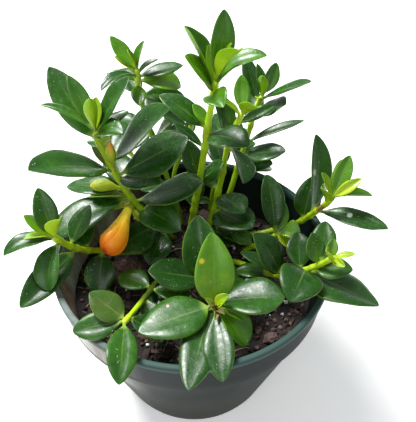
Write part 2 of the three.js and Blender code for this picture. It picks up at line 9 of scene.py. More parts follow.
import bmesh
import bpy
import numpy as np
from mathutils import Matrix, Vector


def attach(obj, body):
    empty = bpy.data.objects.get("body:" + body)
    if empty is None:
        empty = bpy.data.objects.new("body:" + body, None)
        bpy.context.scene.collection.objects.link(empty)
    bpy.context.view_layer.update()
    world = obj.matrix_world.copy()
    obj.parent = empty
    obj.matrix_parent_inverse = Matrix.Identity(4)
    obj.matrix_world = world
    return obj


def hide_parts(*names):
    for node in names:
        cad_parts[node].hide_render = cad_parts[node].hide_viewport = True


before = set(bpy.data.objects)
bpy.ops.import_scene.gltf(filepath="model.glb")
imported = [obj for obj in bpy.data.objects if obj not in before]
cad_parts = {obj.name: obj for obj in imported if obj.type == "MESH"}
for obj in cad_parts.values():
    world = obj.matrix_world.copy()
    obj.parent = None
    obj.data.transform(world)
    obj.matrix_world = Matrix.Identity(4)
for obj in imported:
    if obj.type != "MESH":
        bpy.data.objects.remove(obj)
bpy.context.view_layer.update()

# ------------------------------------------------------------------------------------------- nursery pot
# A thin-walled nursery pot, injection moulded in one piece from grey-green polypropylene: a tapered body,
# a wider collar and a rolled lip. Its floor has drain holes, and dried mix streaks its inner wall.
MM = 0.001
POT_HEIGHT, RIM_RADIUS, BASE_RADIUS = 106.0, 76.0, 48.0
WALL, LIP_HEIGHT, LIP_WIDTH = 1.6, 3.2, 3.4
COLLAR_DEPTH, COLLAR_STEP = 20.0, 1.6
COLLAR_TOP, COLLAR_FOOT = 74.6, 73.4
BODY_TOP = POT_HEIGHT - LIP_HEIGHT - COLLAR_DEPTH
DRAIN_HOLES, DRAIN_RADIUS, DRAIN_RING = 6, 4.0, 37.0
DRILL_SIDES = 24


def body_radius(z):
    return BASE_RADIUS + (COLLAR_FOOT - COLLAR_STEP - BASE_RADIUS) * z / BODY_TOP


def corner(centre, radius, start, stop, steps=6):
    """Points of a round corner of a profile, angles in degrees."""
    return [
        (centre[0] + radius * math.cos(math.radians(a)), centre[1] + radius * math.sin(math.radians(a)))
        for a in np.linspace(start, stop, steps)
    ]


def round_angles(sides):
    """Equal steps of one full turn. The first angle isn't repeated at the end."""
    return np.linspace(0, 2 * math.pi, sides, endpoint=False)


def build(name, verts, faces, smooth=True, **fields):
    """A mesh object from vertices in millimetres, with one float per vertex for each field."""
    mesh = bpy.data.meshes.new(name)
    mesh.from_pydata((np.asarray(verts, float) * MM).tolist(), [], faces)
    mesh.validate()
    for field, values in fields.items():
        layer = mesh.attributes.new(field, "FLOAT", "POINT")
        layer.data.foreach_set("value", np.asarray(values, np.float32))
    mesh.polygons.foreach_set("use_smooth", [smooth] * len(mesh.polygons))
    piece = bpy.data.objects.new(name, mesh)
    bpy.context.collection.objects.link(piece)
    return piece


def ring_faces(rings, sides, first=0):
    """Quads between equal rings of vertices that follow each other."""
    row = first + np.arange(rings - 1)[:, None] * sides
    here = np.arange(sides)
    after = (here + 1) % sides
    quads = np.stack([row + here, row + after, row + after + sides, row + here + sides], -1)
    return quads.reshape(-1, 4).tolist()


def turned(name, profile, sides=160, **fields):
    """A profile turned round the Z axis. Its first and last points lie on the axis."""
    inner = profile[1:-1]
    angle = round_angles(sides)
    verts = [
        (r * math.cos(a), r * math.sin(a), z) for r, z in inner for a in angle
    ] + [(0, 0, profile[0][1]), (0, 0, profile[-1][1])]
    faces = ring_faces(len(inner), sides)
    bottom, top = len(verts) - 2, len(verts) - 1
    last = (len(inner) - 1) * sides
    for i in range(sides):
        j = (i + 1) % sides
        faces.append([bottom, j, i])
        faces.append([top, last + i, last + j])
    return build(name, verts, faces, **fields)


def finish_piece(piece, material, slot, *nodes):
    piece.data.materials.append(material)
    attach(piece, "root")
    if nodes:
        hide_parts(*nodes)


def paint(code):
    """A colour from its hex code, as the linear values that shaders take."""
    parts = [int(code[i : i + 2], 16) / 255 for i in (0, 2, 4)]
    return tuple(c / 12.92 if c <= 0.04045 else ((c + 0.055) / 1.055) ** 2.4 for c in parts) + (1.0,)


class Finish:
    """A node material: each method adds one node and returns its output."""

    def __init__(self, name):
        self.material = bpy.data.materials.new(name)
        self.material.use_nodes = True
        self.nodes = self.material.node_tree.nodes
        self.links = self.material.node_tree.links
        self.shader = self.nodes["Principled BSDF"]
        self.place = self.add("ShaderNodeTexCoord").outputs["Object"]

    def add(self, kind, **settings):
        node = self.nodes.new(kind)
        for key, value in settings.items():
            setattr(node, key, value)
        return node

    def put(self, value, socket):
        if isinstance(value, bpy.types.NodeSocket):
            self.links.new(value, socket)
        else:
            socket.default_value = value

    def field(self, name):
        return self.add("ShaderNodeAttribute", attribute_name=name).outputs["Fac"]

    def math(self, operation, a, b=0.0, c=0.0, clamp=False):
        node = self.add("ShaderNodeMath", operation=operation, use_clamp=clamp)
        for value, socket in zip((a, b, c), node.inputs):
            self.put(value, socket)
        return node.outputs[0]

    def stretch(self, scale, place=None):
        node = self.add("ShaderNodeMapping")
        self.put(place or self.place, node.inputs["Vector"])
        node.inputs["Scale"].default_value = scale
        return node.outputs[0]

    def noise(self, scale, detail=3.0, rough=0.5, warp=0.0, place=None):
        node = self.add("ShaderNodeTexNoise")
        self.put(place or self.place, node.inputs["Vector"])
        for key, value in (("Scale", scale), ("Detail", detail), ("Roughness", rough), ("Distortion", warp)):
            node.inputs[key].default_value = value
        return node.outputs["Fac"]

    def cells(self, scale, place=None, output="Distance", spread=1.0):
        node = self.add("ShaderNodeTexVoronoi")
        self.put(place or self.place, node.inputs["Vector"])
        node.inputs["Scale"].default_value = scale
        node.inputs["Randomness"].default_value = spread
        return node.outputs[output]

    def band(self, value, low, high, to_low=0.0, to_high=1.0):
        """The value's place between low and high, eased and held at both ends."""
        node = self.add("ShaderNodeMapRange", interpolation_type="SMOOTHSTEP")
        limits = {"Value": value, "From Min": low, "From Max": high, "To Min": to_low, "To Max": to_high}
        for key, number in limits.items():
            self.put(number, node.inputs[key])
        return node.outputs["Result"]

    def ramp(self, value, stops):
        node = self.add("ShaderNodeValToRGB")
        self.put(value, node.inputs["Fac"])
        while len(node.color_ramp.elements) < len(stops):
            node.color_ramp.elements.new(0.5)
        for element, (at, code) in zip(node.color_ramp.elements, stops):
            element.position = at
            element.color = paint(code)
        return node.outputs["Color"]

    def mix(self, factor, a, b, how="MIX"):
        node = self.add("ShaderNodeMix", data_type="RGBA", blend_type=how)
        self.put(factor, node.inputs["Factor"])
        self.put(a if isinstance(a, bpy.types.NodeSocket) else paint(a), node.inputs["A"])
        self.put(b if isinstance(b, bpy.types.NodeSocket) else paint(b), node.inputs["B"])
        return node.outputs["Result"]

    def near(self, spot, inner, outer, most=1.0):
        """Falls from most, within inner mm of a point, to 0 at outer mm."""
        node = self.add("ShaderNodeVectorMath", operation="DISTANCE")
        self.put(self.place, node.inputs[0])
        node.inputs[1].default_value = tuple(c * MM for c in spot)
        return self.band(node.outputs["Value"], inner * MM, outer * MM, most, 0.0)

    def bump(self, height, depth, strength=1.0, under=None):
        """A relief of the given depth in millimetres, laid over another relief if one is given."""
        node = self.add("ShaderNodeBump")
        self.put(height, node.inputs["Height"])
        node.inputs["Distance"].default_value = depth * MM
        node.inputs["Strength"].default_value = strength
        if under is not None:
            self.put(under, node.inputs["Normal"])
        return node.outputs["Normal"]

    def done(self, color, rough, normal=None, **sockets):
        self.put(color, self.shader.inputs["Base Color"])
        self.put(rough, self.shader.inputs["Roughness"])
        if normal is not None:
            self.put(normal, self.shader.inputs["Normal"])
        for key, value in sockets.items():
            self.put(value, self.shader.inputs[key.replace("_", " ")])
        return self.material


lip_foot = POT_HEIGHT - LIP_HEIGHT
lip_inner = RIM_RADIUS - LIP_WIDTH
pot_profile = (
    [(0, 0), (20, 0), (BASE_RADIUS - 2.5, 0)]
    + corner((BASE_RADIUS - 2.2, 2.4), 2.4, -90, -14)
    + [(body_radius(z), z) for z in np.linspace(5, BODY_TOP - 0.6, 14)]
    + corner((body_radius(BODY_TOP) + 0.6, BODY_TOP + 0.1), 0.5, 170, 95, 4)
    + corner((COLLAR_FOOT - 0.6, BODY_TOP + 1.2), 0.6, -80, 0, 5)
    + [
        (COLLAR_FOOT + (COLLAR_TOP - COLLAR_FOOT) * t, BODY_TOP + 2 + (COLLAR_DEPTH - 3) * t)
        for t in (0.3, 0.6, 0.9)
    ]
    + [(COLLAR_TOP, lip_foot - 0.5), (COLLAR_TOP + 0.2, lip_foot - 0.1)]
    + corner((RIM_RADIUS - 0.7, lip_foot + 0.6), 0.7, -90, 0, 5)
    + corner((RIM_RADIUS - 1.3, POT_HEIGHT - 1.3), 1.3, 0, 90, 8)
    + corner((lip_inner + 0.9, POT_HEIGHT - 0.9), 0.9, 90, 180, 6)
    + [(lip_inner - 0.1, lip_foot + 0.5), (COLLAR_TOP - WALL - 0.5, lip_foot - 1.5)]
    + [(COLLAR_FOOT - WALL, BODY_TOP + 2.4), (body_radius(BODY_TOP) - WALL, BODY_TOP - 0.6)]
    + [(body_radius(z) - WALL, z) for z in np.linspace(BODY_TOP - 6, 5, 10)]
    + corner((BASE_RADIUS - 5, 4.2), 2.6, 0, -90, 5)
    + [(20, WALL), (0, WALL)]
)
pot = turned("nursery_pot", pot_profile, 192)
drills = []
for i in range(DRAIN_HOLES):
    turn = 2 * math.pi * (i + 0.5) / DRAIN_HOLES
    ring = [(DRAIN_RADIUS * math.cos(a), DRAIN_RADIUS * math.sin(a)) for a in round_angles(DRILL_SIDES)]
    spot = (DRAIN_RING * math.cos(turn), DRAIN_RING * math.sin(turn))
    verts = [(spot[0] + x, spot[1] + y, z) for z in (-4, 5) for x, y in ring]
    lids = [list(range(DRILL_SIDES))[::-1], list(range(DRILL_SIDES, 2 * DRILL_SIDES))]
    drill = build(f"drill_{i}", verts, ring_faces(2, DRILL_SIDES) + lids)
    cut = pot.modifiers.new(f"drain_{i}", "BOOLEAN")
    cut.operation = "DIFFERENCE"
    cut.object = drill
    drills.append(drill)
bpy.context.view_layer.update()
drilled = bpy.data.meshes.new_from_object(pot.evaluated_get(bpy.context.evaluated_depsgraph_get()))
pot.modifiers.clear()
pot.data = drilled
for drill in drills:
    bpy.data.objects.remove(drill)

plastic = Finish("grey_green_polypropylene")
height = plastic.add("ShaderNodeSeparateXYZ")
plastic.put(plastic.place, height.inputs[0])
high = height.outputs["Z"]
squares = [plastic.math("MULTIPLY", height.outputs[axis], height.outputs[axis]) for axis in "XY"]
across_wall = plastic.math("SQRT", plastic.math("ADD", *squares))
# This line parts the inside of the wall from its outside. It leans out too far: from about 36 mm up it
# nears the outer face, and from about 67 mm up the outside takes the lining's colours in full.
line_slope = (COLLAR_FOOT - BASE_RADIUS) / BODY_TOP
wall_line = plastic.math("MULTIPLY_ADD", high, line_slope, (BASE_RADIUS - 0.9) * MM)
inside = plastic.band(plastic.math("SUBTRACT", wall_line, across_wall), -0.0002, 0.0004)
grain = plastic.noise(420, 4, 0.6)
cloud = plastic.noise(26, 4, 0.55, 0.6)
streaks = plastic.noise(60, 3, 0.6, 0.3, plastic.stretch((1, 1, 0.09)))
outer = plastic.ramp(cloud, [(0.3, "171a13"), (0.52, "20241b"), (0.72, "2b2f25")])
outer = plastic.mix(plastic.band(streaks, 0.5, 0.75, 0, 0.15), outer, "3c4034")
# Inside of the wall: pale greys, made lighter as painted light, streaked with pink-brown stains of dried mix
# and spotted with mix.
lit_shaded_stained_lining = plastic.ramp(streaks, [(0.36, "ced0cc"), (0.5, "aeaea8"), (0.6, "8c7468"), (0.72, "ae9286")])
lit_shaded_stained_lining = plastic.mix(plastic.band(grain, 0.45, 0.7, 0, 0.4), lit_shaded_stained_lining, "8a7d72")
# Right of x = -20 mm the inside is painted near-black teal as painted shade; only the left part keeps the
# pale greys.
shade_side = plastic.band(height.outputs["X"], -0.05, -0.02)
lit_shaded_stained_lining = plastic.mix(shade_side, lit_shaded_stained_lining, plastic.ramp(cloud, [(0.3, "091413"), (0.7, "14211f")]))
walls = plastic.mix(inside, outer, lit_shaded_stained_lining)
lip_band = plastic.band(high, (lip_foot - 0.6) * MM, (lip_foot + 0.8) * MM)
walls = plastic.mix(plastic.math("MULTIPLY", lip_band, 0.8), walls, "3a524d")
plastic_relief = plastic.bump(plastic.noise(900, 3, 0.6), 0.05, 0.35)
waves = plastic.noise(45, 3, 0.5, 0, plastic.stretch((1, 1, 0.3)))
plastic_relief = plastic.bump(waves, 0.5, 0.3, plastic_relief)
plastic_rough = plastic.math("MULTIPLY_ADD", cloud, 0.25, 0.45)
plastic.done(walls, plastic_rough, plastic_relief, Specular_IOR_Level=0.2)
finish_piece(pot, plastic.material, "pot_plastic", "pot")

# ------------------------------------------------------------------------------------------- potting mix
# The pot is filled to 30 mm under its lip with peat and composted bark, opened with white perlite. The
# surface is one lumpy sheet, and loose crumbs, bark, perlite and dead rootlets lie half sunk in it.
SOIL_TOP, SOIL_FLOOR = 76.0, 1.9
SOIL_CLEAR = 0.3
# A pale pinkish-tan patch of the mix by the left wall, its colour raised as painted light where the leaves
# shade it.
PALE_LIT_SPOT = (-40, 8, 77)
SOIL_RADIUS = body_radius(SOIL_TOP) - WALL - SOIL_CLEAR
draw = np.random.default_rng(7)


def hills(x, y):
    """Height of the lumpy surface over its mean, in millimetres."""
    coarse = np.sin(x / 9.0) * np.cos(y / 11.0) + np.sin((x + y) / 17.0)
    middle = np.sin(x / 3.1 + 2 * np.sin(y / 5.3)) * np.cos(y / 3.7 + 1.3 * np.sin(x / 4.1))
    fine = np.sin(x / 1.3 + 3 * np.sin(y / 1.9)) * np.sin(y / 1.1 + 2 * np.sin(x / 2.3))
    return 0.9 * coarse + 0.8 * middle + 0.35 * fine


soil_rings, soil_sides = 70, 260
verts = [(0.0, 0.0, SOIL_TOP)]
for k in range(1, soil_rings + 1):
    radius = SOIL_RADIUS * k / soil_rings
    for a in round_angles(soil_sides):
        x, y = radius * math.cos(a), radius * math.sin(a)
        verts.append((x, y, SOIL_TOP + float(hills(x, y))))
buried_rings = [(z, body_radius(z) - WALL - SOIL_CLEAR) for z in (70.0, 4.4)]
for z, radius in buried_rings + [(SOIL_FLOOR, BASE_RADIUS - 3.5)]:
    verts += [(radius * math.cos(a), radius * math.sin(a), z) for a in round_angles(soil_sides)]
faces = ring_faces(soil_rings + 3, soil_sides, 1)
faces += [[0, 1 + (i + 1) % soil_sides, 1 + i][::-1] for i in range(soil_sides)]
faces.append([len(verts) - soil_sides + i for i in range(soil_sides)])
soil = build("soil_surface", verts, [f[::-1] for f in faces])

mould = Finish("peat_and_bark_mix")
clods = mould.cells(330, spread=1.0)
dust = mould.noise(900, 4, 0.7)
patch = mould.noise(75, 4, 0.6)
# The mix's own dark browns, darkened further towards black as painted shade.
earth_shade_and_light = mould.ramp(patch, [(0.25, "080605"), (0.45, "130e0b"), (0.6, "241a15"), (0.78, "3e3028")])
earth_shade_and_light = mould.mix(mould.band(dust, 0.55, 0.75, 0, 0.5), earth_shade_and_light, "4f3f35")
earth_shade_and_light = mould.mix(mould.band(clods, 0.0, 0.5, 0.6, 0), earth_shade_and_light, "0c0908")
# Paler tan patch by the left wall: partly painted light.
earth_shade_and_light = mould.mix(mould.near(PALE_LIT_SPOT, 5, 14, 0.7), earth_shade_and_light, "7a5c50")
mould_relief = mould.bump(dust, 0.5, 0.8)
mould_relief = mould.bump(clods, 0.9, 0.7, mould_relief)
mould.done(earth_shade_and_light, mould.band(dust, 0.3, 0.8, 0.7, 0.95), mould_relief)
finish_piece(soil, mould.material, "soil_mix", "soil")


def ball(level=1):
    """Vertices and faces of an icosphere of radius 1."""
    kit = bpy.data.meshes.new("ball")
    work = bmesh.new()
    bmesh.ops.create_icosphere(work, subdivisions=level, radius=1.0)
    work.to_mesh(kit)
    work.free()
    points = np.array([v.co[:] for v in kit.vertices])
    sides = [list(p.vertices) for p in kit.polygons]
    bpy.data.meshes.remove(kit)
    return points, sides
def scatter(name, count, sizes, flat, colour_field, region, sink=0.3, level=1):
    """Many rough lumps in one mesh, resting on the mix. sizes and flat are ranges, region picks a place."""
    points, sides = ball(level)
    verts, faces, field = [], [], []
    for _ in range(count):
        x, y = region()
        size = draw.uniform(*sizes)
        shape = points * (1 + draw.uniform(-0.22, 0.22, (len(points), 1)))
        shape = shape * np.array([size, size * draw.uniform(0.45, 0.9), size * draw.uniform(*flat)])
        turn, tip = draw.uniform(0, 2 * math.pi), draw.uniform(-0.5, 0.5)
        c, s, ct, st = math.cos(turn), math.sin(turn), math.cos(tip), math.sin(tip)
        shape = shape @ np.array([[ct, 0, -st], [0, 1, 0], [st, 0, ct]])
        shape = shape @ np.array([[c, s, 0], [-s, c, 0], [0, 0, 1]])
        lift = SOIL_TOP + float(hills(x, y)) + shape[:, 2].max() * (1 - 2 * sink)
        faces += [[i + len(verts) for i in side] for side in sides]
        verts += (shape + (x, y, lift)).tolist()
        field += [draw.uniform()] * len(points)
    return build(name, verts, faces, False, **{colour_field: field})


def anywhere(reach=SOIL_RADIUS - 3):
    r, a = reach * math.sqrt(draw.uniform()), draw.uniform(0, 2 * math.pi)
    return r * math.cos(a), r * math.sin(a)


crumbs = scatter("soil_crumbs", 1500, (0.5, 1.9), (0.4, 0.9), "lot", anywhere)
bark = scatter("bark_chips", 70, (2.2, 5.2), (0.18, 0.4), "lot", anywhere, 0.25, 2)

chips = Finish("composted_bark")
lot = chips.field("lot")
fibre = chips.noise(160, 4, 0.65, 1.5, chips.stretch((1, 5, 1)))
# Bark chips in their own browns, darkened as painted shade.
husk_shade_and_light = chips.ramp(lot, [(0.0, "1c1512"), (0.35, "33261f"), (0.7, "54403a"), (1.0, "8a6f66")])
husk_shade_and_light = chips.mix(chips.band(fibre, 0.42, 0.7, 0, 0.7), husk_shade_and_light, "2a1f1a")
# Paler tan patch by the left wall: partly painted light.
husk_shade_and_light = chips.mix(chips.near(PALE_LIT_SPOT, 5, 14, 0.6), husk_shade_and_light, "8a6e62")
chips.done(husk_shade_and_light, 0.8, chips.bump(fibre, 0.5, 0.7))
for piece in (crumbs, bark):
    finish_piece(piece, chips.material, "soil_mix")

grains = scatter("perlite_grains", 85, (0.6, 1.7), (0.6, 1.0), "lot", anywhere, 0.2, 2)
perlite = Finish("expanded_perlite")
pores = perlite.cells(1600)
glass = perlite.mix(perlite.band(pores, 0.05, 0.5), "a9a59a", "f4f1ea")
perlite.done(glass, 0.75, perlite.bump(pores, 0.3, 0.6), Subsurface_Weight=0.2, Subsurface_Scale=0.001)
finish_piece(grains, perlite.material, "perlite")

ROOTLETS, ROOTLET_RINGS, ROOTLET_SIDES = 46, 9, 6
verts, faces = [], []
for _ in range(ROOTLETS):
    x, y = anywhere()
    heading, length, thick = draw.uniform(0, 2 * math.pi), draw.uniform(6, 20), draw.uniform(0.18, 0.4)
    bend = draw.uniform(-1.6, 1.6)
    pace = length / (ROOTLET_RINGS - 1)
    for k in range(ROOTLET_RINGS):
        t = k / (ROOTLET_RINGS - 1)
        turn = heading + bend * t
        x, y = x + pace * math.cos(turn), y + pace * math.sin(turn)
        if math.hypot(x, y) > SOIL_RADIUS - 1:
            x, y = x * 0.98, y * 0.98
        z = SOIL_TOP + float(hills(x, y)) + thick + 0.9 * math.sin(math.pi * t)
        r = thick * (1 - 0.5 * t)
        for a in round_angles(ROOTLET_SIDES):
            out = r * math.cos(a)
            verts.append((x - out * math.sin(turn), y + out * math.cos(turn), z + r * math.sin(a)))
    first = len(verts) - ROOTLET_RINGS * ROOTLET_SIDES
    last = len(verts) - ROOTLET_SIDES
    faces += ring_faces(ROOTLET_RINGS, ROOTLET_SIDES, first)
    faces += [[first + i for i in range(ROOTLET_SIDES)][::-1], [last + i for i in range(ROOTLET_SIDES)]]
rootlets = build("dead_rootlets", verts, faces)
straw = Finish("dead_rootlet")
straw.done(straw.ramp(straw.noise(150, 3), [(0.3, "6f5a44"), (0.5, "a08a6c"), (0.7, "c9b796")]), 0.7,
           straw.bump(straw.noise(900), 0.1, 0.5))
finish_piece(rootlets, straw.material, "soil_mix")

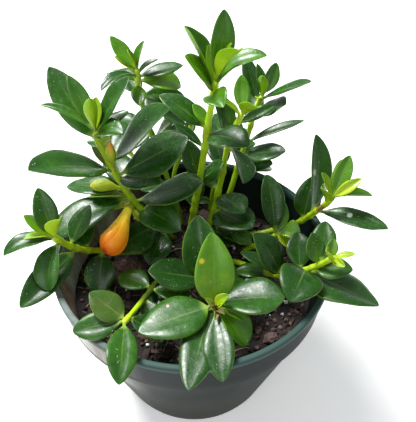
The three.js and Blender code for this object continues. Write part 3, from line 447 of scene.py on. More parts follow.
# ------------------------------------------------------------------------------------------- leafy shoots
# Each shoot is one arching stem with fleshy leaves in near pairs, all grown as one body and rooted in the
# mix. Young leaves at the tips are small, folded and yellow-green; old ones are broad, thick and dark.
# path: points of the stem from its foot in the mix. radius: at foot and tip. leaves: place along the stem,
# heading, pitch, length, width, arc that the blade bends through, roll, fold, then where they aren't usual
# the waist (above 1 is widest towards the tip), age 0-1 and dryness 0-1. Angles in degrees, sizes in mm.
# Many of the leaves' values are what a fitting program printed, with light rounding. They weren't chosen by
# hand.
SHOOTS = {
    "shoot_left_tall": {
        "path": [
            (-11, 35, 62), (-14, 34, 78), (-31, 30, 106),
            (-41, 28, 131), (-48, 27, 155), (-49, 27, 164),
        ],
        "radius": (2, 1.5),
        "leaves": [
            (0.92, 133, 36, 49, 19, 0, -10, 12, 0.9, 0.8),
            (0.99, 128, 45, 32, 10, 16, 0, 20, 1.05, 0.7),
            (1, 170, 24, 30, 7, 46, -5, 32, 1.1, 0.7),
            (0.99, 85, 58, 18, 8, 10, 0, 30, 1.2, 0.15),
            (0.93, -45, 40, 16, 8, 12, 0, 30, 1.2, 0.2),
            (1, -80, 72, 25, 9, 10, 12, 38, 1, 0.12),
            (0.98, 36, 49, 34, 16, 14, -4, 19, 1.05, 1),
            (0.96, -36, 29, 22, 17, 62, 14, 23, 1, 0.9),
            (0.99, 32, 18, 20, 12, 10, -6, 13, 1, 0.8),
            (0.74, -140, 29, 52, 28, 22, 0, 15, 1.1, 0.85),
            (0.69, -33, 19, 31, 20, 12, 0, 16, 1, 0.9),
            (0.79, -3, 47, 50, 31, 5, 8, 20, 1.2, 1),
            (0.71, 2, 32, 47, 28, 0, 14, 5, 1.15, 1),
            (0.55, -151, -9, 49, 24, 34, 0, 10, 1.2, 1),
            (0.6, 165, -8, 38, 18, 20, 0, 14, 1, 0.9),
            (0.44, -42, 7, 32, 22, 65, 16, 23, 0.95, 0.9),
            (0.51, -12, 28, 46, 25, 8, 0, 6, 1.2, 1),
            (0.29, -136, 0, 33, 24, 20, -4, 5, 1, 1),
            (0.22, -107, -6, 27, 19, 30, -5, 14, 1, 1),
            (0.45, 156, -10, 23, 14, 25, 0, 14),
            (0.8, 62, 14, 30, 17, 20, 0, 12),
            (0.6, 110, 8, 32, 18, 25, 0, 12),
            (0.54, -166, 14, 24, 11, 20, 20, 28, 1, 0.3, 0.3),
            (0.74, 150, 42, 18, 8, 10, 0, 25, 1, 0.45, 0.45),
        ],
    },
    "shoot_left_trailing": {
        "path": [(-15, 25, 62), (-22, 22, 78), (-40, 16, 84), (-54, 7, 95), (-62, -5, 110), (-70, -13, 127)],
        "radius": (1.9, 1.6),
        "leaves": [
            (1, 114, 54, 26, 13, 14, 0, 21, 0.85),
            (1, 165, 42, 18, 8, 20, -20, 26, 1, 0.4),
            (0.98, -39, 65, 21, 12, 28, -10, 32, 1, 0.15),
            (0.96, -155, 1, 27, 14, 62, 6, 27),
            (1, -160, 12, 14, 8, 33, 18, 32, 1, 0.25),
            (0.94, -100, -31, 26, 18, 54, 20, 26, 1.1),
            (0.79, -122, -5, 43, 17, 19, -28, 21),
            (0.85, 60, 35, 24, 13, 20, 0, 15),
            (0.55, -93, -28, 26, 18, 34, -5, 14, 0.95),
            (0.68, 115, 14, 22, 15, 25, 0, 12),
        ],
    },
    "shoot_centre_tall": {
        "path": [(-4, 32, 62), (-3, 34, 80), (4, 37, 124), (9, 36, 165), (12.5, 35, 188)],
        "radius": (2.2, 1.6),
        "leaves": [
            (1, 68, 74, 34, 13, 30, 36, 20, 1.05, 0.55),
            (0.97, 153, 60, 33, 16, 14, 11, 38, 1, 0.5),
            (0.98, 110, 62, 20, 8, 10, 0, 30, 1.2, 0.1),
            (1, -62, 50, 35, 12, 42, -12, 34, 1.05, 0.14),
            (0.97, 3, 34, 30, 15, 65, 0, 25, 1, 0.65),
            (0.94, -164, 58, 27, 17, 34, -18, 12, 1.05, 0.55),
            (0.94, -76, 12, 19, 14, 46, 28, 25, 1, 0.5),
            (0.76, 159, 30, 31, 14, 34, -15, 16),
            (0.78, 150, 50, 14, 9, 10, 0, 15, 1, 0.5),
            (0.66, 155, 32, 22, 7, 18, -9, 14, 1.05),
            (0.73, -40, 13, 29, 20, 35, 6, 13, 0.95),
            (0.48, 130, 60, 25, 13, 10, -10, 10),
            (0.46, 10, 46, 20, 14, 0, 8, 6, 1.1),
            (0.985, -10, 72, 24, 7, 10, 0, 34, 1, 0.08),
            (0.42, 120, 45, 18, 9, 15, 30, 12, 1, 0.9),
            (0.36, -25, 12, 9.5, 7, 20, 0, 15, 1, 0.9),
            (0.3, 95, 10, 28, 16, 25, 0, 15),
        ],
    },
    "shoot_back_left": {
        "path": [(-7, 46, 62), (-9, 49, 80), (-22, 63, 123), (-30, 66, 158), (-30, 65, 178)],
        "radius": (1.9, 1.3),
        "leaves": [
            (0.99, 145, 41, 23, 10, 0, -7, 8, 1.05, 0.6),
            (1, 58, 58, 15, 9, 22, -30, 26, 1, 0.75),
            (0.98, 159, 28, 15, 6, 5, -14, 33, 1, 0.05),
            (0.99, 175, 70, 13, 6, 10, 0, 30, 1, 0.1),
            (0.97, 20, 29, 14, 6, 42, -6, 21, 1, 0.8),
            (0.93, 170, 10, 18, 9, 30, 0, 20),
            (0.95, -127, 11, 28, 9, 80, 0, 19),
            (0.93, 15, -14, 25, 20, 46, 18, 20, 1.15, 0.5),
            (0.85, 12, -8, 26, 13, 30, 30, 10),
            (0.955, 14, 8, 26, 12, 10, 10, 12),
            (0.91, -83, -9, 17, 9, 32, -5, 15),
            (0.6, -8, 52, 27, 14, 15, 8, 14, 1, 0.5),
            (0.72, 15, 22, 27, 14, 25, 0, 14, 1, 1),
            (0.45, 178, 5, 18, 12, 25, 0, 14),
            (0.5, 60, 10, 28, 15, 25, 0, 14),
            (0.84, 120, 10, 28, 15, 25, 0, 15),
            (0.7, 75, 5, 32, 17, 25, 0, 15),
            (0.64, 150, 0, 32, 17, 25, 0, 15),
        ],
    },
    "shoot_inner_left": {
        "path": [(-16, 43, 62), (-15, 46, 80), (-12, 52, 114), (-6, 52, 132), (-1, 52, 150)],
        "radius": (1.7, 1.1),
        "leaves": [
            (0.95, 170, 35, 20, 13, 20, 0, 15),
            (0.9, 80, 20, 12, 8, 20, 0, 15),
            (0.99, 25, 45, 12, 7, 10, 0, 20, 1, 0.9),
            (1, 140, 60, 12, 6, 10, 0, 20),
            (0.8, -166, 58, 18, 11, 15, 0, 12, 1, 0.9),
            (0.3, -160, 8, 20, 13, 25, 0, 14, 1, 1),
            (0.72, 100, 15, 26, 15, 25, 0, 15),
            (0.5, -165, 0, 20, 14, 25, 0, 15),
        ],
    },
    "shoot_back_middle": {
        "path": [(7, 38, 62), (9, 39, 80), (16, 43, 115), (20, 45, 142), (27, 45, 163)],
        "radius": (2, 1.4),
        "leaves": [
            (1, 93, 52, 20, 9, 10, -6, 15, 0.95, 0.6),
            (0.99, -60, 42, 18, 14, 5, -25, 30, 1, 0.12),
            (0.98, 170, 40, 13, 6, 10, 0, 30, 1, 0.2),
            (0.92, 22, 17, 24, 7, 10, 34, 18),
            (0.8, 160, 72, 32, 14, 12, 0, 12, 1, 1),
            (0.86, 115, 60, 20, 8, 10, 0, 15),
            (0.77, -70, -20, 25, 20, 54, -38, 25, 1.05),
            (0.43, -51, 7, 24, 20, 36, -5, 12, 1.05),
            (0.33, -48, 14, 34, 25, 6, 0, 8, 0.9),
            (0.24, -36, -4, 29, 15, 20, 0, 14, 1, 0.95),
            (0.18, -45, 4, 22, 14, 25, 0, 14, 1, 1),
            (0.6, 100, 12, 28, 15, 25, 0, 14),
            (0.46, 130, 8, 28, 15, 25, 0, 14),
            (0.76, 110, 10, 26, 15, 25, 0, 15),
        ],
    },
    "shoot_back_right": {
        "path": [(15, 47, 62), (18, 52, 80), (28, 65, 112), (36, 68, 148), (39.5, 68, 159)],
        "radius": (2, 1.4),
        "leaves": [
            (0.99, 114, 65, 19, 8, 22, 16, 22, 1, 0.6),
            (1, 54, 48, 20, 10, 30, 45, 24, 1.05, 0.6),
            (1, -110, 78, 15, 7, 14, 0, 20, 1, 0.35),
            (0.97, -100, 35, 12, 6, 30, 0, 20, 1, 0.2),
            (0.97, -37, 37, 38, 12, 12, 7, 12),
            (0.89, -45, 35, 26, 19, 5, 16, 8, 1.1),
            (0.94, 114, 50, 29, 10, 5, -10, 10),
            (0.67, 9, 20, 38, 8, 22, 0, 12),
            (0.59, -21, 21, 29, 17, 5, 8, 8, 0.9),
            (0.53, -8, 6, 21, 14, 14, 20, 14),
            (0.5, 25, -20, 27, 15, 20, 0, 12, 1, 0.9),
            (0.22, -12, -2, 20, 12, 20, 0, 12, 1, 1),
            (0.8, 85, 15, 28, 15, 25, 0, 15),
            (0.68, 130, 10, 30, 16, 25, 0, 15),
        ],
    },
    "shoot_right": {
        "path": [(20, 30, 62), (24, 30, 79), (46, 32, 85), (61, 27, 97), (70, 16, 119), (75, 12.5, 131)],
        "radius": (2, 1.5),
        "leaves": [
            (0.76, 86, 56, 46, 17, 38, 36, 26, 1, 0.95),
            (0.67, 68, 63, 27, 16, 26, 10, 16, 0.85),
            (0.97, 66, 44, 23, 11, 18, 34, 28, 1.1, 0.6),
            (1, 56, 51, 24, 11, 8, 18, 29, 1, 0.45),
            (1, 150, 60, 16, 7, 6, 0, 20, 1, 0.3),
            (1, 12, 36, 18, 7, 30, 40, 27, 1, 0.08),
            (1, -1, 4, 21, 9, 40, -10, 22, 1, 0.35),
            (0.94, -150, 66, 15, 12, 30, -10, 36, 1, 0.25),
            (0.84, -32, 10, 40, 15, 12, 0, 16),
        ],
    },
    "shoot_right_inner": {
        "path": [(29, 22, 62), (31, 21, 79), (40, 18.5, 89), (49, 19.5, 95.5)],
        "radius": (1.8, 1.2),
        "leaves": [
            (0.97, 102, 47, 36, 16, 36, 3, 23, 1.05),
            (1, -16, 2, 14, 20, 10, 0, 42),
            (0.99, -52, -4, 15, 9, 20, 0, 34, 1, 0.02),
            (0.6, 150, 15, 16, 13, 30, 0, 15),
            (0.45, -50, -2, 18, 11, 20, 0, 12, 1, 0.9),
            (1, 75, 34, 20, 10, 15, 30, 30, 1, 0.5),
        ],
    },
    "shoot_right_low": {
        "path": [(18, 18, 62), (22, 13, 79), (46, -12, 96), (62, -21, 113), (70, -25, 125)],
        "radius": (2, 1.2),
        "leaves": [
            (0.89, 119, 61, 18, 12, 5, 0, 11),
            (0.91, 79, 27, 23, 13, 25, 0, 12),
            (0.97, 71, 52, 11, 7, 15, 15, 26, 1, 0.3),
            (0.98, -140, 62, 11, 8, 19, -22, 28, 1, 0.2),
            (1, 0, 15, 11, 5, 10, 0, 20, 1, 0.12),
            (0.99, -59, 18, 10, 5, 21, 35, 30, 1, 0.12),
            (0.85, -12, 8, 20, 15, 10, 5, 10, 0.7),
            (0.79, -113, 13, 28, 23, 72, -12, 12, 0.9),
            (0.77, -33, 1, 42, 30, 8, -14, 6, 0.75),
            (0.61, 149, 53, 29, 18, 43, -7, 18, 0.85),
            (0.76, 90, 25, 22, 14, 10, 0, 10),
            (0.52, 170, -5, 18, 13, 23, 12, 11, 0.95),
            (0.58, 154, 21, 23, 11, 34, 14, 14),
        ],
    },
    "shoot_front": {
        "path": [(4, 17, 62), (5, 8, 79), (9, -20, 99), (12, -46, 111)],
        "radius": (2, 1.4),
        "leaves": [
            (0.97, 94, 54, 37, 21, 20, 11, 17, 0.7, 0.5),
            (0.95, -156, 1, 39, 25, 8, 0, 6, 0.85),
            (1, -85, -8, 36, 15, 12, 12, 13, 1.1),
            (0.86, -102, 1, 52, 18, 4, -4, 4),
            (0.93, -2, 11, 35, 25, 19, -6, 14, 1.15),
            (0.98, 0, -30, 20, 15, 40, -14, 19, 1.1, 0.55),
            (1, 20, 50, 11, 8, 20, 0, 40, 1, 0.15),
            (0.96, -48, -26, 24, 20, 42, -12, 36, 1.15, 0.7),
            (0.8, -38, -22, 28, 12, 20, 0, 15, 1, 0.7, 1),
            (0.64, 106, 56, 37, 24, 42, -18, 30, 0.75),
            (0.58, -175, 18, 33, 21, 5, -10, 9, 0.95),
            (0.7, 0, -12, 26, 15, 20, 0, 12),
            (0.42, 6, -10, 22, 13, 20, 0, 12, 1, 1),
        ],
    },
    "shoot_front_left": {
        "path": [(-12, 14, 62), (-15, 7, 79), (-25, -30, 98), (-31.5, -53, 110)],
        "radius": (1.8, 1.3),
        "leaves": [
            (0.97, 152, 26, 22, 16, 5, 0, 6, 0.8, 0.72, 0.18),
            (0.98, -169, -3, 25, 14, 16, -18, 10, 1, 1),
            (0.99, -88, 1, 33, 15, 27, -12, 12, 1, 0.95),
            (0.94, -12, -32, 16, 12, 20, 0, 12, 1, 1),
            (0.55, 150, -5, 22, 16, 20, 0, 12),
            (0.67, -68, -15, 26, 15, 20, 0, 12),
            (0.57, -8, 0, 22, 14, 20, 0, 12),
            (0.4, -100, -4, 22, 14, 20, 0, 12, 1, 1),
        ],
    },
    "shoot_rear_left": {
        "path": [(-18, 53, 62), (-23, 57, 84), (-33, 62, 108), (-40, 71, 115), (-47, 81, 113)],
        "radius": (1.8, 1.2),
        "leaves": [
            (0.99, 125, -5, 26, 15, 25, 0, 15),
            (0.98, -175, 5, 20, 13, 25, 0, 15),
            (0.97, 60, 0, 24, 14, 25, 0, 15),
            (0.85, 170, 10, 28, 16, 25, 0, 15),
            (0.84, 70, 10, 28, 16, 25, 0, 15),
        ],
    },
    "shoot_rear_right": {
        "path": [(9, 59, 62), (11, 62, 84), (15, 65, 107), (19, 72, 115), (25, 84, 113)],
        "radius": (1.8, 1.2),
        "leaves": [
            (0.99, 70, -10, 26, 15, 25, 0, 15),
            (0.98, 140, 0, 24, 14, 25, 0, 15),
            (0.92, -5, -15, 20, 12, 25, 0, 15),
            (0.84, 120, 10, 24, 14, 25, 0, 15),
            (0.85, 20, 0, 20, 13, 25, 0, 15),
        ],
    },
}
STALK_SHARE, STALK_HALF, STALK_THICK = 0.10, 0.85, 1.5
BLADE_THICK = 1.15


def curve(points, count):
    """Points at equal steps of length along a smooth curve through the given ones."""
    p = np.asarray(points, float)
    p = np.vstack([2 * p[0] - p[1], p, 2 * p[-1] - p[-2]])
    fine = []
    for i in range(1, len(p) - 2):
        for t in np.linspace(0, 1, 60, endpoint=i == len(p) - 3):
            a = 2 * p[i] + (p[i + 1] - p[i - 1]) * t
            a = a + (2 * p[i - 1] - 5 * p[i] + 4 * p[i + 1] - p[i + 2]) * t**2
            a = a + (3 * p[i] - p[i - 1] - 3 * p[i + 1] + p[i + 2]) * t**3
            fine.append(a / 2)
    fine = np.array(fine)
    run = np.concatenate([[0], np.cumsum(np.linalg.norm(np.diff(fine, axis=0), axis=1))])
    at = np.linspace(0, run[-1], count)
    return np.stack([np.interp(at, run, fine[:, k]) for k in range(3)], 1), run[-1]


def tube(points, radii, sides=14, seed=0, first=0):
    """A closed round tube through the points. Returns vertices, faces and the share of the way of each."""
    n = len(points)
    ahead = np.gradient(points, axis=0)
    ahead /= np.linalg.norm(ahead, axis=1)[:, None]
    side = np.cross(ahead[0], (0.3, 1, 0.2))
    verts, way = [], []
    for i in range(n):
        side = side - ahead[i] * side.dot(ahead[i])
        side /= np.linalg.norm(side)
        up = np.cross(ahead[i], side)
        for a in round_angles(sides):
            wob = 1 + 0.05 * math.sin(3 * a + seed + i * 0.35)
            verts.append(points[i] + radii[i] * wob * (math.cos(a) * side + math.sin(a) * up))
            way.append(i / (n - 1))
    faces = ring_faces(n, sides, first)
    verts += [points[0], points[-1] + ahead[-1] * radii[-1] * 0.4]
    way += [0.0, 1.0]
    foot, tip, last = first + n * sides, first + n * sides + 1, first + (n - 1) * sides
    for i in range(sides):
        j = (i + 1) % sides
        faces.append([foot, first + j, first + i])
        faces.append([tip, last + i, last + j])
    return np.array(verts), faces, way


def blade_half(s, width, waist):
    """Half a leaf's width at share s of its length: a thin stalk, then a full, short-pointed blade."""
    x = np.clip((s - STALK_SHARE) / (1 - STALK_SHARE), 0, 1)
    blade = width / 2 * np.maximum(np.sin(math.pi * x**waist), 0) ** 0.66
    stalk = STALK_HALF * (1 - x) ** 0.6
    return (np.maximum(blade, 0) ** 3 + stalk**3) ** (1 / 3)


def leaf(root, spec, seed, stations=30, across=9):
    """One fleshy leaf: vertices, faces and fields. The blade is a closed body, thickest along its midrib."""
    heading, pitch, length, width, bend, roll, fold = spec[1:8]
    h, p, turn, vee = (math.radians(v) for v in (heading, pitch, roll, fold))
    way = np.array([math.cos(p) * math.cos(h), math.cos(p) * math.sin(h), math.sin(p)])
    above = np.array([-math.sin(p) * math.cos(h), -math.sin(p) * math.sin(h), math.cos(p)])
    beside = np.cross(way, above)
    up = above * math.cos(turn) + beside * math.sin(turn)
    side = np.cross(way, up)
    arc = math.radians(bend) if abs(bend) > 0.5 else 0.01
    radius = length / (2 * math.sin(arc / 2))
    chance = np.random.default_rng(seed)
    phase = chance.uniform(0, 6.28, 4)
    wave = chance.uniform(0.25, 0.6) * min(width / 18, 1.2)
    twist = chance.uniform(-0.10, 0.10)
    s = 0.5 - 0.5 * np.cos(math.pi * np.linspace(0, 1, stations) ** 0.93)
    half = blade_half(s, width, spec[8] if len(spec) > 8 else 1.0)
    half[-1] = 0.12
    phi = (s - 0.5) * arc
    ahead = length / 2 + radius * np.sin(phi)
    above_root = radius * (np.cos(phi) - math.cos(arc / 2))
    centre = root + np.outer(ahead, way) + np.outer(above_root, up)
    face = np.outer(np.cos(phi), up) + np.outer(np.sin(phi), way)
    v_top = -np.cos(np.linspace(0, math.pi, across))
    ring_v = np.concatenate([v_top, v_top[-2:0:-1]])
    ring_top = np.concatenate([np.ones(across), -np.ones(across - 2)])
    ring_top[0] = ring_top[across - 1] = 0
    x = np.clip((s - STALK_SHARE) / (1 - STALK_SHARE), 0, 1)
    stalk = np.clip(1 - x / 0.12, 0, 1)
    body = np.clip(np.sin(math.pi * np.clip(x, 0, 1)) * 1.8, 0, 1)
    thick = BLADE_THICK * min(1.0, 0.6 + width / 40) * (1 - stalk) + STALK_THICK * stalk
    thick = thick * (1 - 0.55 * x**6)
    verts, fields = [], {"along": [], "across": [], "under": []}
    for i in range(len(s)):
        w, b = half[i], body[i]
        v = ring_v
        cup = np.abs(v) ** 1.45
        rise = w * math.sin(vee) * cup
        spread = w * v * (1 - (1 - math.cos(vee)) * np.abs(v) ** 0.4)
        swell = 0.5 * thick[i] * np.sqrt(np.maximum(1 - np.abs(v) ** 3.2, 0)) * ring_top
        rib = np.exp(-((v * w / 1.0) ** 2)) * b
        swell = np.where(ring_top > 0, swell - 0.34 * rib, swell - 0.45 * rib * (ring_top < 0))
        pillow = 0.045 * w * (1 - v**2) * np.abs(v) ** 0.5 * b
        curl = -0.09 * w * np.abs(v) ** 5 * b
        ripple = wave * b * np.abs(v) ** 1.5 * np.where(
            v > 0, np.sin(7.5 * s[i] + phase[0]) + 0.4 * np.sin(17 * s[i] + phase[2]),
            np.sin(7.0 * s[i] + phase[1]) + 0.4 * np.sin(16 * s[i] + phase[3]))
        lift = rise + swell + pillow + curl + ripple
        lean = twist * (s[i] - 0.3) * 2
        out = spread * math.cos(lean) - lift * math.sin(lean)
        lift = lift * math.cos(lean) + spread * math.sin(lean)
        verts.append(centre[i] + out[:, None] * side + lift[:, None] * face[i])
        fields["along"] += [x[i] if x[i] > 0 else 0.0] * len(v)
        fields["across"] += np.abs(v).tolist()
        fields["under"] += (0.5 - 0.5 * ring_top).tolist()
    verts = np.vstack(verts)
    ring = len(ring_v)
    faces = ring_faces(len(s), ring)
    faces = [f[::-1] for f in faces]
    for start, flip in ((0, False), ((len(s) - 1) * ring, True)):
        cap = [start + k for k in range(ring)]
        faces.append(cap[::-1] if flip else cap)
    return verts, faces, fields


def leaf_mesh(name, rows):
    """Many leaves in one mesh. Each row: root, spec, seed, stations, and fields that are even over it."""
    verts, faces, fields, total = [], [], {}, 0
    for root, spec, number, stations, even in rows:
        some, sides, values = leaf(np.array(root), spec, number, stations)
        verts.append(some)
        faces += [[i + total for i in side] for side in sides]
        total += len(some)
        values.update({key: [value] * len(some) for key, value in even.items()})
        for key, column in values.items():
            fields.setdefault(key, []).extend(column)
    return build(name, np.vstack(verts), faces, True, **fields)


def usual_age(spec):
    length, along = spec[3], spec[0]
    return float(np.clip(0.25 + length / 34, 0.3, 1.0) - (0.05 if along > 0.9 else 0.0))


leaf_flesh = Finish("fleshy_leaf")
along, across, under = leaf_flesh.field("along"), leaf_flesh.field("across"), leaf_flesh.field("under")
age, spent, seed = leaf_flesh.field("age"), leaf_flesh.field("spent"), leaf_flesh.field("seed")
blotch = leaf_flesh.noise(95, 4, 0.55, 0.4)
fleck = leaf_flesh.noise(420, 3, 0.6)
pebble = leaf_flesh.cells(1150, spread=0.9)
mottled = leaf_flesh.math("MULTIPLY_ADD", leaf_flesh.math("SUBTRACT", blotch, 0.5), 0.45, age)
mottled = leaf_flesh.math("MULTIPLY_ADD", leaf_flesh.math("SUBTRACT", seed, 0.5), 0.2, mottled)
towards_tip = leaf_flesh.band(along, 0.15, 0.9, 0, 0.25)
greener = leaf_flesh.math("MULTIPLY", towards_tip, leaf_flesh.math("SUBTRACT", 1.0, age))
mottled = leaf_flesh.math("ADD", mottled, greener)
top = leaf_flesh.ramp(mottled, [
    (0.0, "bcd212"), (0.25, "8caa0e"), (0.5, "558808"), (0.75, "2d5e08"), (1.0, "184208"),
])
below = leaf_flesh.ramp(mottled, [(0.0, "bcd822"), (0.4, "90bc16"), (0.8, "5a9612"), (1.0, "427a10")])
is_under = leaf_flesh.band(under, 0.4, 0.6)
green = leaf_flesh.mix(is_under, top, below)
margin = leaf_flesh.band(across, 0.93, 1.0)
green = leaf_flesh.mix(leaf_flesh.math("MULTIPLY", margin, 0.45), green, "8aa63a")
rib_line = leaf_flesh.band(across, 0.0, 0.07, 0.3, 0.0)
rib_line = leaf_flesh.math("MULTIPLY", rib_line, leaf_flesh.band(along, 0.95, 0.3))
green = leaf_flesh.mix(rib_line, green, "8aa650")
green = leaf_flesh.mix(leaf_flesh.band(along, 0.1, 0.0, 0, 0.8), green, "8fae3a")
green = leaf_flesh.mix(leaf_flesh.band(fleck, 0.56, 0.8, 0, 0.18), green, "6f9a3a")
husk_tone = leaf_flesh.ramp(blotch, [(0.3, "3b3320"), (0.5, "6b5a2e"), (0.7, "9a8450")])
green = leaf_flesh.mix(spent, green, husk_tone)
for spot, inner, outer, tone in (
    ((5.7, -33.5, 132.1), 0.6, 1.9, "d8c030"), ((-11, -44.2, 111.5), 0.5, 1.0, "d8a0a0"),
    ((85.2, 8.6, 121.4), 1.0, 1.9, "e8ece4"), ((67.2, 28.4, 135.1), 0.9, 2.6, "b4bca4"),
):
    green = leaf_flesh.mix(leaf_flesh.near(spot, inner, outer, 0.9), green, tone)
specks = leaf_flesh.math("MULTIPLY", leaf_flesh.band(leaf_flesh.noise(1300, 1, 0.4), 0.72, 0.78),
                         leaf_flesh.band(leaf_flesh.noise(110, 2, 0.5), 0.46, 0.6))
specks_shown = leaf_flesh.math("SUBTRACT", 0.8, leaf_flesh.math("MULTIPLY", is_under, 0.8))
green = leaf_flesh.mix(leaf_flesh.math("MULTIPLY", specks, specks_shown), green, "dfe6d8")
skin = leaf_flesh.bump(leaf_flesh.noise(240, 2, 0.5), 0.3, 0.3)
skin = leaf_flesh.bump(pebble, 0.08, 0.3, skin)
gloss = leaf_flesh.band(fleck, 0.3, 0.7, 0.25, 0.42)
gloss = leaf_flesh.math("ADD", gloss, leaf_flesh.math("MULTIPLY", spent, 0.3))
leaf_flesh.done(green, gloss, skin, Subsurface_Weight=0.08, Subsurface_Scale=0.0016, Specular_IOR_Level=0.45)
leaf_flesh.shader.inputs["Subsurface Radius"].default_value = (0.7, 1.0, 0.25)

stalk_skin = Finish("green_stem")
way, knot = stalk_skin.field("along"), stalk_skin.field("age")
cord = stalk_skin.noise(240, 3, 0.6, 0.2, stalk_skin.stretch((1, 1, 0.25)))
rind = stalk_skin.ramp(stalk_skin.math("MULTIPLY_ADD", stalk_skin.math("SUBTRACT", cord, 0.5), 0.3, way),
                       [(0.0, "5a4418"), (0.16, "6c7a16"), (0.32, "96c016"), (1.0, "bce020")])
knot_tint = stalk_skin.math("MULTIPLY", knot, stalk_skin.band(cord, 0.4, 0.65, 0, 0.3))
rind = stalk_skin.mix(knot_tint, rind, "8a5a3c")
rind = stalk_skin.mix(stalk_skin.near((71, 15.1, 121.3), 2.5, 5, 0.85), rind, "8a5a3c")
# Stems within about 14-28 mm of a point on the front-left shoot are painted dark olive: painted shade.
rind = stalk_skin.mix(stalk_skin.near((-21, -16, 93), 14, 28, 0.85), rind, "2a3812")
stalk_skin.done(rind, stalk_skin.band(cord, 0.3, 0.7, 0.26, 0.42), stalk_skin.bump(cord, 0.2, 0.4),
                Subsurface_Weight=0.12, Subsurface_Scale=0.0015)

STEM_RINGS, STEM_SIDES = 90, 14
LONG_LEAF = 16.0
for number, (name, shoot) in enumerate(SHOOTS.items()):
    count = STEM_RINGS
    points, length = curve(shoot["path"], count)
    share = np.linspace(0, 1, count)
    radii = shoot["radius"][0] + (shoot["radius"][1] - shoot["radius"][0]) * share
    knots = np.zeros(count)
    for spec in shoot["leaves"]:
        knots = np.maximum(knots, np.exp(-(((share - spec[0]) * length / 1.9) ** 2)))
    radii = radii * (1 + 0.28 * knots)
    radii[-1] *= 0.55
    radii[-2] *= 0.85
    verts, faces, way = tube(points, radii, STEM_SIDES, number)
    swelling = np.repeat(np.append(knots, 0), STEM_SIDES)[: len(way)]
    stem = build(name + "_stem", verts, faces, True, along=way, age=swelling)
    finish_piece(stem, stalk_skin.material, "stem", name)
    rows = []
    for k, spec in enumerate(shoot["leaves"]):
        at = spec[0] * (count - 1)
        low = min(int(at), count - 2)
        root = points[low] + (points[low + 1] - points[low]) * (at - low)
        seed_number = 1000 * number + k
        even = {
            "age": spec[9] if len(spec) > 9 else usual_age(spec),
            "spent": spec[10] if len(spec) > 10 else 0.0,
            "seed": np.random.default_rng(seed_number + 5).uniform(),
        }
        rows.append((root, spec, seed_number, 30 if spec[3] > LONG_LEAF else 20, even))
    leaves = leaf_mesh(name + "_leaves", rows)
    finish_piece(leaves, leaf_flesh.material, "foliage", name)

# The front shoot's heart: curled dry stipules and two half-open leaves. Each: root, heading, pitch, length,
# width, bend, roll, fold, age and dryness.
HEART = (
    ((12, -46, 111.5), (-130, 55, 8, 4, 70, 0, 35), 0.5, 1.0),
    ((13, -47, 111), (-60, 40, 9, 3.6, 80, 20, 40), 0.5, 0.9),
    ((12.5, -46.5, 111), (-95, 20, 8, 3.4, 90, -20, 40), 0.4, 0.8),
    ((11.5, -46, 111), (150, 50, 8, 4, 50, 0, 30), 0.3, 0.2),
    ((13, -45.5, 111.5), (-20, 60, 7, 3.6, 40, 0, 35), 0.25, 0.0),
)
SCRAP_STATIONS = 18
heart = leaf_mesh("shoot_front_stipules", [
    (root, (0,) + spec, 700 + k, SCRAP_STATIONS, {"age": years, "spent": dry, "seed": 0.5})
    for k, (root, spec, years, dry) in enumerate(HEART)
])
finish_piece(heart, leaf_flesh.material, "foliage", "shoot_front")

# ------------------------------------------------------------------------------------------ flower and buds
# The flower is a pouch of five petals grown together, pinched to a tiny mouth, and hangs by a short neck
# from a knobby green receptacle with narrow sepals. The small buds stand on thin stalks of their own.
PETALS = 5


def lathe_along(axis, widths, sides, count, ridge=0.0):
    """A round body about a curved axis. widths gives (share, radius) pairs; ridges run along the petals."""
    points, _ = curve(axis, count)
    share = np.linspace(0, 1, count)
    keys = np.array(widths)
    fine = np.interp(share, keys[:, 0], keys[:, 1])
    for _ in range(2):
        fine[1:-1] = (fine[:-2] + 2 * fine[1:-1] + fine[2:]) / 4
    ahead = np.gradient(points, axis=0)
    ahead /= np.linalg.norm(ahead, axis=1)[:, None]
    verts, way, round_ = [], [], []
    for i in range(count):
        side = np.cross(ahead[i], (0, 0, 1))
        side /= np.linalg.norm(side)
        up = np.cross(side, ahead[i])
        fullness = math.sin(math.pi * min(1, share[i] * 1.1)) ** 0.5
        for a in round_angles(sides):
            groove = 1 + ridge * (abs(math.cos(PETALS * a / 2)) ** 0.6 - 0.6) * fullness
            r = fine[i] * groove
            verts.append(points[i] + r * (math.cos(a) * side + math.sin(a) * up))
            way.append(share[i])
            round_.append(a)
    faces = ring_faces(count, sides)
    return np.array(verts), faces, way, round_, points, ahead


def close(verts, faces, way, sides, count, ends):
    verts = np.vstack([verts, ends])
    last = (count - 1) * sides
    for i in range(sides):
        j = (i + 1) % sides
        faces.append([len(verts) - 2, j, i])
        faces.append([len(verts) - 1, last + i, last + j])
    return verts, faces, way + [0.0, 1.0]


def bud_body(name, axis, widths, ridge, sides=28, count=26):
    verts, faces, way, _, points, ahead = lathe_along(axis, widths, sides, count, ridge)
    verts, faces, way = close(verts, faces, way, sides, count, [points[0], points[-1] + ahead[-1] * 0.3])
    return build(name, verts, faces, True, along=way)


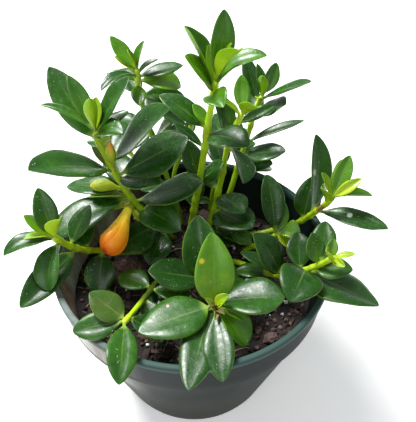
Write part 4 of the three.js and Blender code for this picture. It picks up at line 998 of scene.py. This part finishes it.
corolla_axis = [(-37.6, 25.5, 109.8), (-39.8, 18, 108), (-43, 9, 104.8), (-46, 5, 102.5), (-50, 2.5, 100)]
corolla_widths = [
    (0, 2.4), (0.12, 2.7), (0.3, 4), (0.5, 5.8), (0.68, 7.3), (0.82, 7.6), (0.93, 5.8), (1, 2.6),
]
sides, count = 60, 50
verts, _, way, turn, points, ahead = lathe_along(corolla_axis, corolla_widths, sides, count, 0.11)
mouth_at = points[-1]
rows = [verts]
for depth, radius in ((0.2, 2.2), (0.0, 1.8), (-0.8, 1.6), (-2.2, 1.5)):
    centre = mouth_at + ahead[-1] * depth
    side = np.cross(ahead[-1], (0, 0, 1))
    side /= np.linalg.norm(side)
    up = np.cross(side, ahead[-1])
    ring = []
    for a in round_angles(sides):
        r = radius * (1 + 0.12 * math.cos(5 * a))
        ring.append(centre + r * (math.cos(a) * side + math.sin(a) * up))
    rows.append(np.array(ring))
    way += [1.0] * sides
    turn += turn[:sides]
verts = np.vstack(rows)
faces = ring_faces(count + 4, sides)
verts, faces, way = close(verts, faces, way, sides, count + 4, [points[0], mouth_at - ahead[-1] * 2.4])
corolla = build("flower_pouch", verts, faces, True, along=way, turn=turn + [0.0, 0.0])

petal = Finish("orange_petal")
way, round_ = petal.field("along"), petal.field("turn")
veins = petal.noise(260, 3, 0.6, 0.2, petal.stretch((1, 1, 0.2)))
glow = petal.noise(120, 3, 0.5)
amber = petal.ramp(petal.math("MULTIPLY_ADD", petal.math("SUBTRACT", glow, 0.5), 0.5, way),
                   [(0.0, "f4ee48"), (0.24, "ffdc3a"), (0.45, "ffbe28"), (0.75, "ff9a18"), (1.0, "f06c14")])
amber = petal.mix(petal.band(veins, 0.5, 0.75, 0, 0.4), amber, "e87a0c")
crease = petal.math("COSINE", petal.math("MULTIPLY", round_, PETALS / 2))
crease = petal.band(petal.math("ABSOLUTE", crease), 0.0, 0.35, 0.55, 0)
amber = petal.mix(petal.math("MULTIPLY", crease, petal.band(way, 0.3, 0.7)), amber, "e06a08")
mouth_tint = petal.math("MULTIPLY", petal.band(way, 0.86, 0.97), petal.band(glow, 0.5, 0.62))
amber = petal.mix(mouth_tint, amber, "b83a24")
# The petals also glow faintly in their own colours: painted light that brightens the flower.
petal.done(amber, 0.4, petal.bump(veins, 0.3, 0.4), Subsurface_Weight=0.3, Subsurface_Scale=0.003,
           Emission_Color=amber, Emission_Strength=0.14)
petal.shader.inputs["Subsurface Radius"].default_value = (1.0, 0.6, 0.15)
finish_piece(corolla, petal.material, "corolla", "flower")

bud = bud_body("flower_bud_body", [(-42.3, 24.1, 145.7), (-42.4, 23.8, 153), (-41.9, 23.8, 159.6)],
               [(0, 1.4), (0.25, 2.5), (0.5, 2.8), (0.75, 2), (1, 0.5)], ridge=0.08)
bud_skin = Finish("bud_skin")
way = bud_skin.field("along")
down = bud_skin.noise(500, 3, 0.6)
tone = bud_skin.ramp(bud_skin.math("MULTIPLY_ADD", bud_skin.math("SUBTRACT", down, 0.5), 0.3, way),
                     [(0.0, "8fae24"), (0.5, "b6c430"), (0.75, "dcb430"), (1.0, "e88a24")])
bud_skin.done(tone, 0.5, bud_skin.bump(down, 0.15, 0.5), Subsurface_Weight=0.2, Subsurface_Scale=0.002)
finish_piece(bud, bud_skin.material, "bud", "flower_bud")

closed = bud_body("closed_bud_body",
                  [(-38.2, 28.5, 123), (-43.5, 28.3, 124.6), (-50, 28.6, 125.6), (-57.6, 29, 124.6)],
                  [(0, 0.8), (0.25, 1), (0.4, 2.6), (0.65, 3.6), (0.88, 2.9), (1, 0.9)], ridge=0.08)
calyx_skin = Finish("calyx_skin")
way = calyx_skin.field("along")
down = calyx_skin.noise(420, 3, 0.6)
tone = calyx_skin.ramp(down, [(0.3, "86a016"), (0.5, "a8ba1c"), (0.7, "c2be26")])
tone = calyx_skin.mix(calyx_skin.band(way, 0.8, 1.0, 0, 0.5), tone, "b88a2c")
calyx_skin.done(tone, 0.5, calyx_skin.bump(down, 0.2, 0.5), Subsurface_Weight=0.15, Subsurface_Scale=0.002)
finish_piece(closed, calyx_skin.material, "bud", "shoot_left_tall")

verts, faces, total, way = [], [], 0, []
for path, radii in (
    ([(-33, 30, 110), (-35, 29.2, 111.2), (-36.9, 28.4, 110.7)], (1.1, 1.0)),
    ([(-36.5, 29, 110.9), (-36.95, 27.5, 110.45), (-37.45, 25.95, 109.95)], (1.6, 3.3)),
    ([(-42.5, 27.7, 135.5), (-42.4, 25.6, 140), (-42.3, 24.2, 145.4)], (0.9, 0.8)),
):
    points, _ = curve(path, 24)
    share = np.linspace(0, 1, 24)
    middle = radii[0] * 0.5 + radii[1] * 0.62 if radii[1] > 2 else radii[0] * 0.9
    r = np.interp(share, [0, 0.4, 1], [radii[0], middle, radii[1]])
    some, sides, w = tube(points, r, 20, 3, total)
    verts.append(some)
    faces += sides
    way += w
    total += len(some)
calyx = build("flower_stalks", np.vstack(verts), faces, True, along=way)
finish_piece(calyx, calyx_skin.material, "stem", "shoot_left_tall", "flower", "flower_bud")

SEPALS = (
    ((-36.8, 26.9, 111.4), (-175, -6, 13, 4.6, 10, 0, 20)),
    ((-35.4, 27.2, 109.6), (-50, -42, 9, 4.6, 15, 0, 20)),
    ((-36.8, 26.9, 111.4), (120, -15, 9, 4, 15, 0, 20)),
    ((-36.8, 27.4, 112.2), (-80, 45, 7, 3.6, 15, 0, 20)),
)
sepals = leaf_mesh("flower_sepals", [
    (root, (0,) + spec, 500 + k, SCRAP_STATIONS, {}) for k, (root, spec) in enumerate(SEPALS)
])
finish_piece(sepals, calyx_skin.material, "bud", "shoot_left_tall", "flower")

# --------------------------------------------------------------------------------------------------- studio
# A pale seamless floor, a large soft light over the back left, a weak fill from the front, and a camera
# that looks down at the pot from the front.
FLOOR_SIZE = 6000
grid = 60
verts, faces = [], []
for j in range(grid + 1):
    for i in range(grid + 1):
        verts.append(((i / grid - 0.5) * FLOOR_SIZE, (j / grid - 0.5) * FLOOR_SIZE, 0.0))
for j in range(grid):
    for i in range(grid):
        a = j * (grid + 1) + i
        faces.append([a, a + 1, a + grid + 2, a + grid + 1])
floor = build("studio_floor", verts, faces, False)
paper = Finish("white_paper")
paper.done(paper.mix(paper.noise(12, 2), "f4f4f4", "f8f8f8"), 0.9, paper.bump(paper.noise(300), 0.1, 0.2),
           Emission_Color=(1, 1, 1, 1), Emission_Strength=0.28)
floor.data.materials.append(paper.material)

sky = bpy.data.worlds.new("studio_sky")
bpy.context.scene.world = sky
sky.use_nodes = True
sky.node_tree.nodes["Background"].inputs["Color"].default_value = (0.93, 0.97, 1.0, 1.0)
sky.node_tree.nodes["Background"].inputs["Strength"].default_value = 0.42


def soft_light(name, place, target, size, power, tint=(1, 1, 1)):
    lamp = bpy.data.lights.new(name, "AREA")
    lamp.shape, lamp.size, lamp.energy, lamp.color = "DISK", size, power, tint
    holder = bpy.data.objects.new(name, lamp)
    holder.location = place
    holder.rotation_euler = (Vector(target) - Vector(place)).to_track_quat("-Z", "Y").to_euler()
    bpy.context.collection.objects.link(holder)


soft_light("window", (-0.45, 0.45, 1.15), (0, 0, 0.1), 0.55, 30, (1.0, 1.0, 1.0))
soft_light("fill", (-0.3, -1.1, 1.1), (0, 0, 0.1), 1.0, 5)

lens = bpy.data.cameras.new("studio_camera")
lens.lens, lens.sensor_width, lens.sensor_fit = 47.77, 36, "AUTO"
camera = bpy.data.objects.new("studio_camera", lens)
camera.location = (0.008547, -0.208726, 0.3323)
camera.rotation_euler = (math.radians(46.32), 0, 0)
bpy.context.collection.objects.link(camera)
bpy.context.scene.camera = camera
bpy.context.scene.view_settings.view_transform = "Standard"
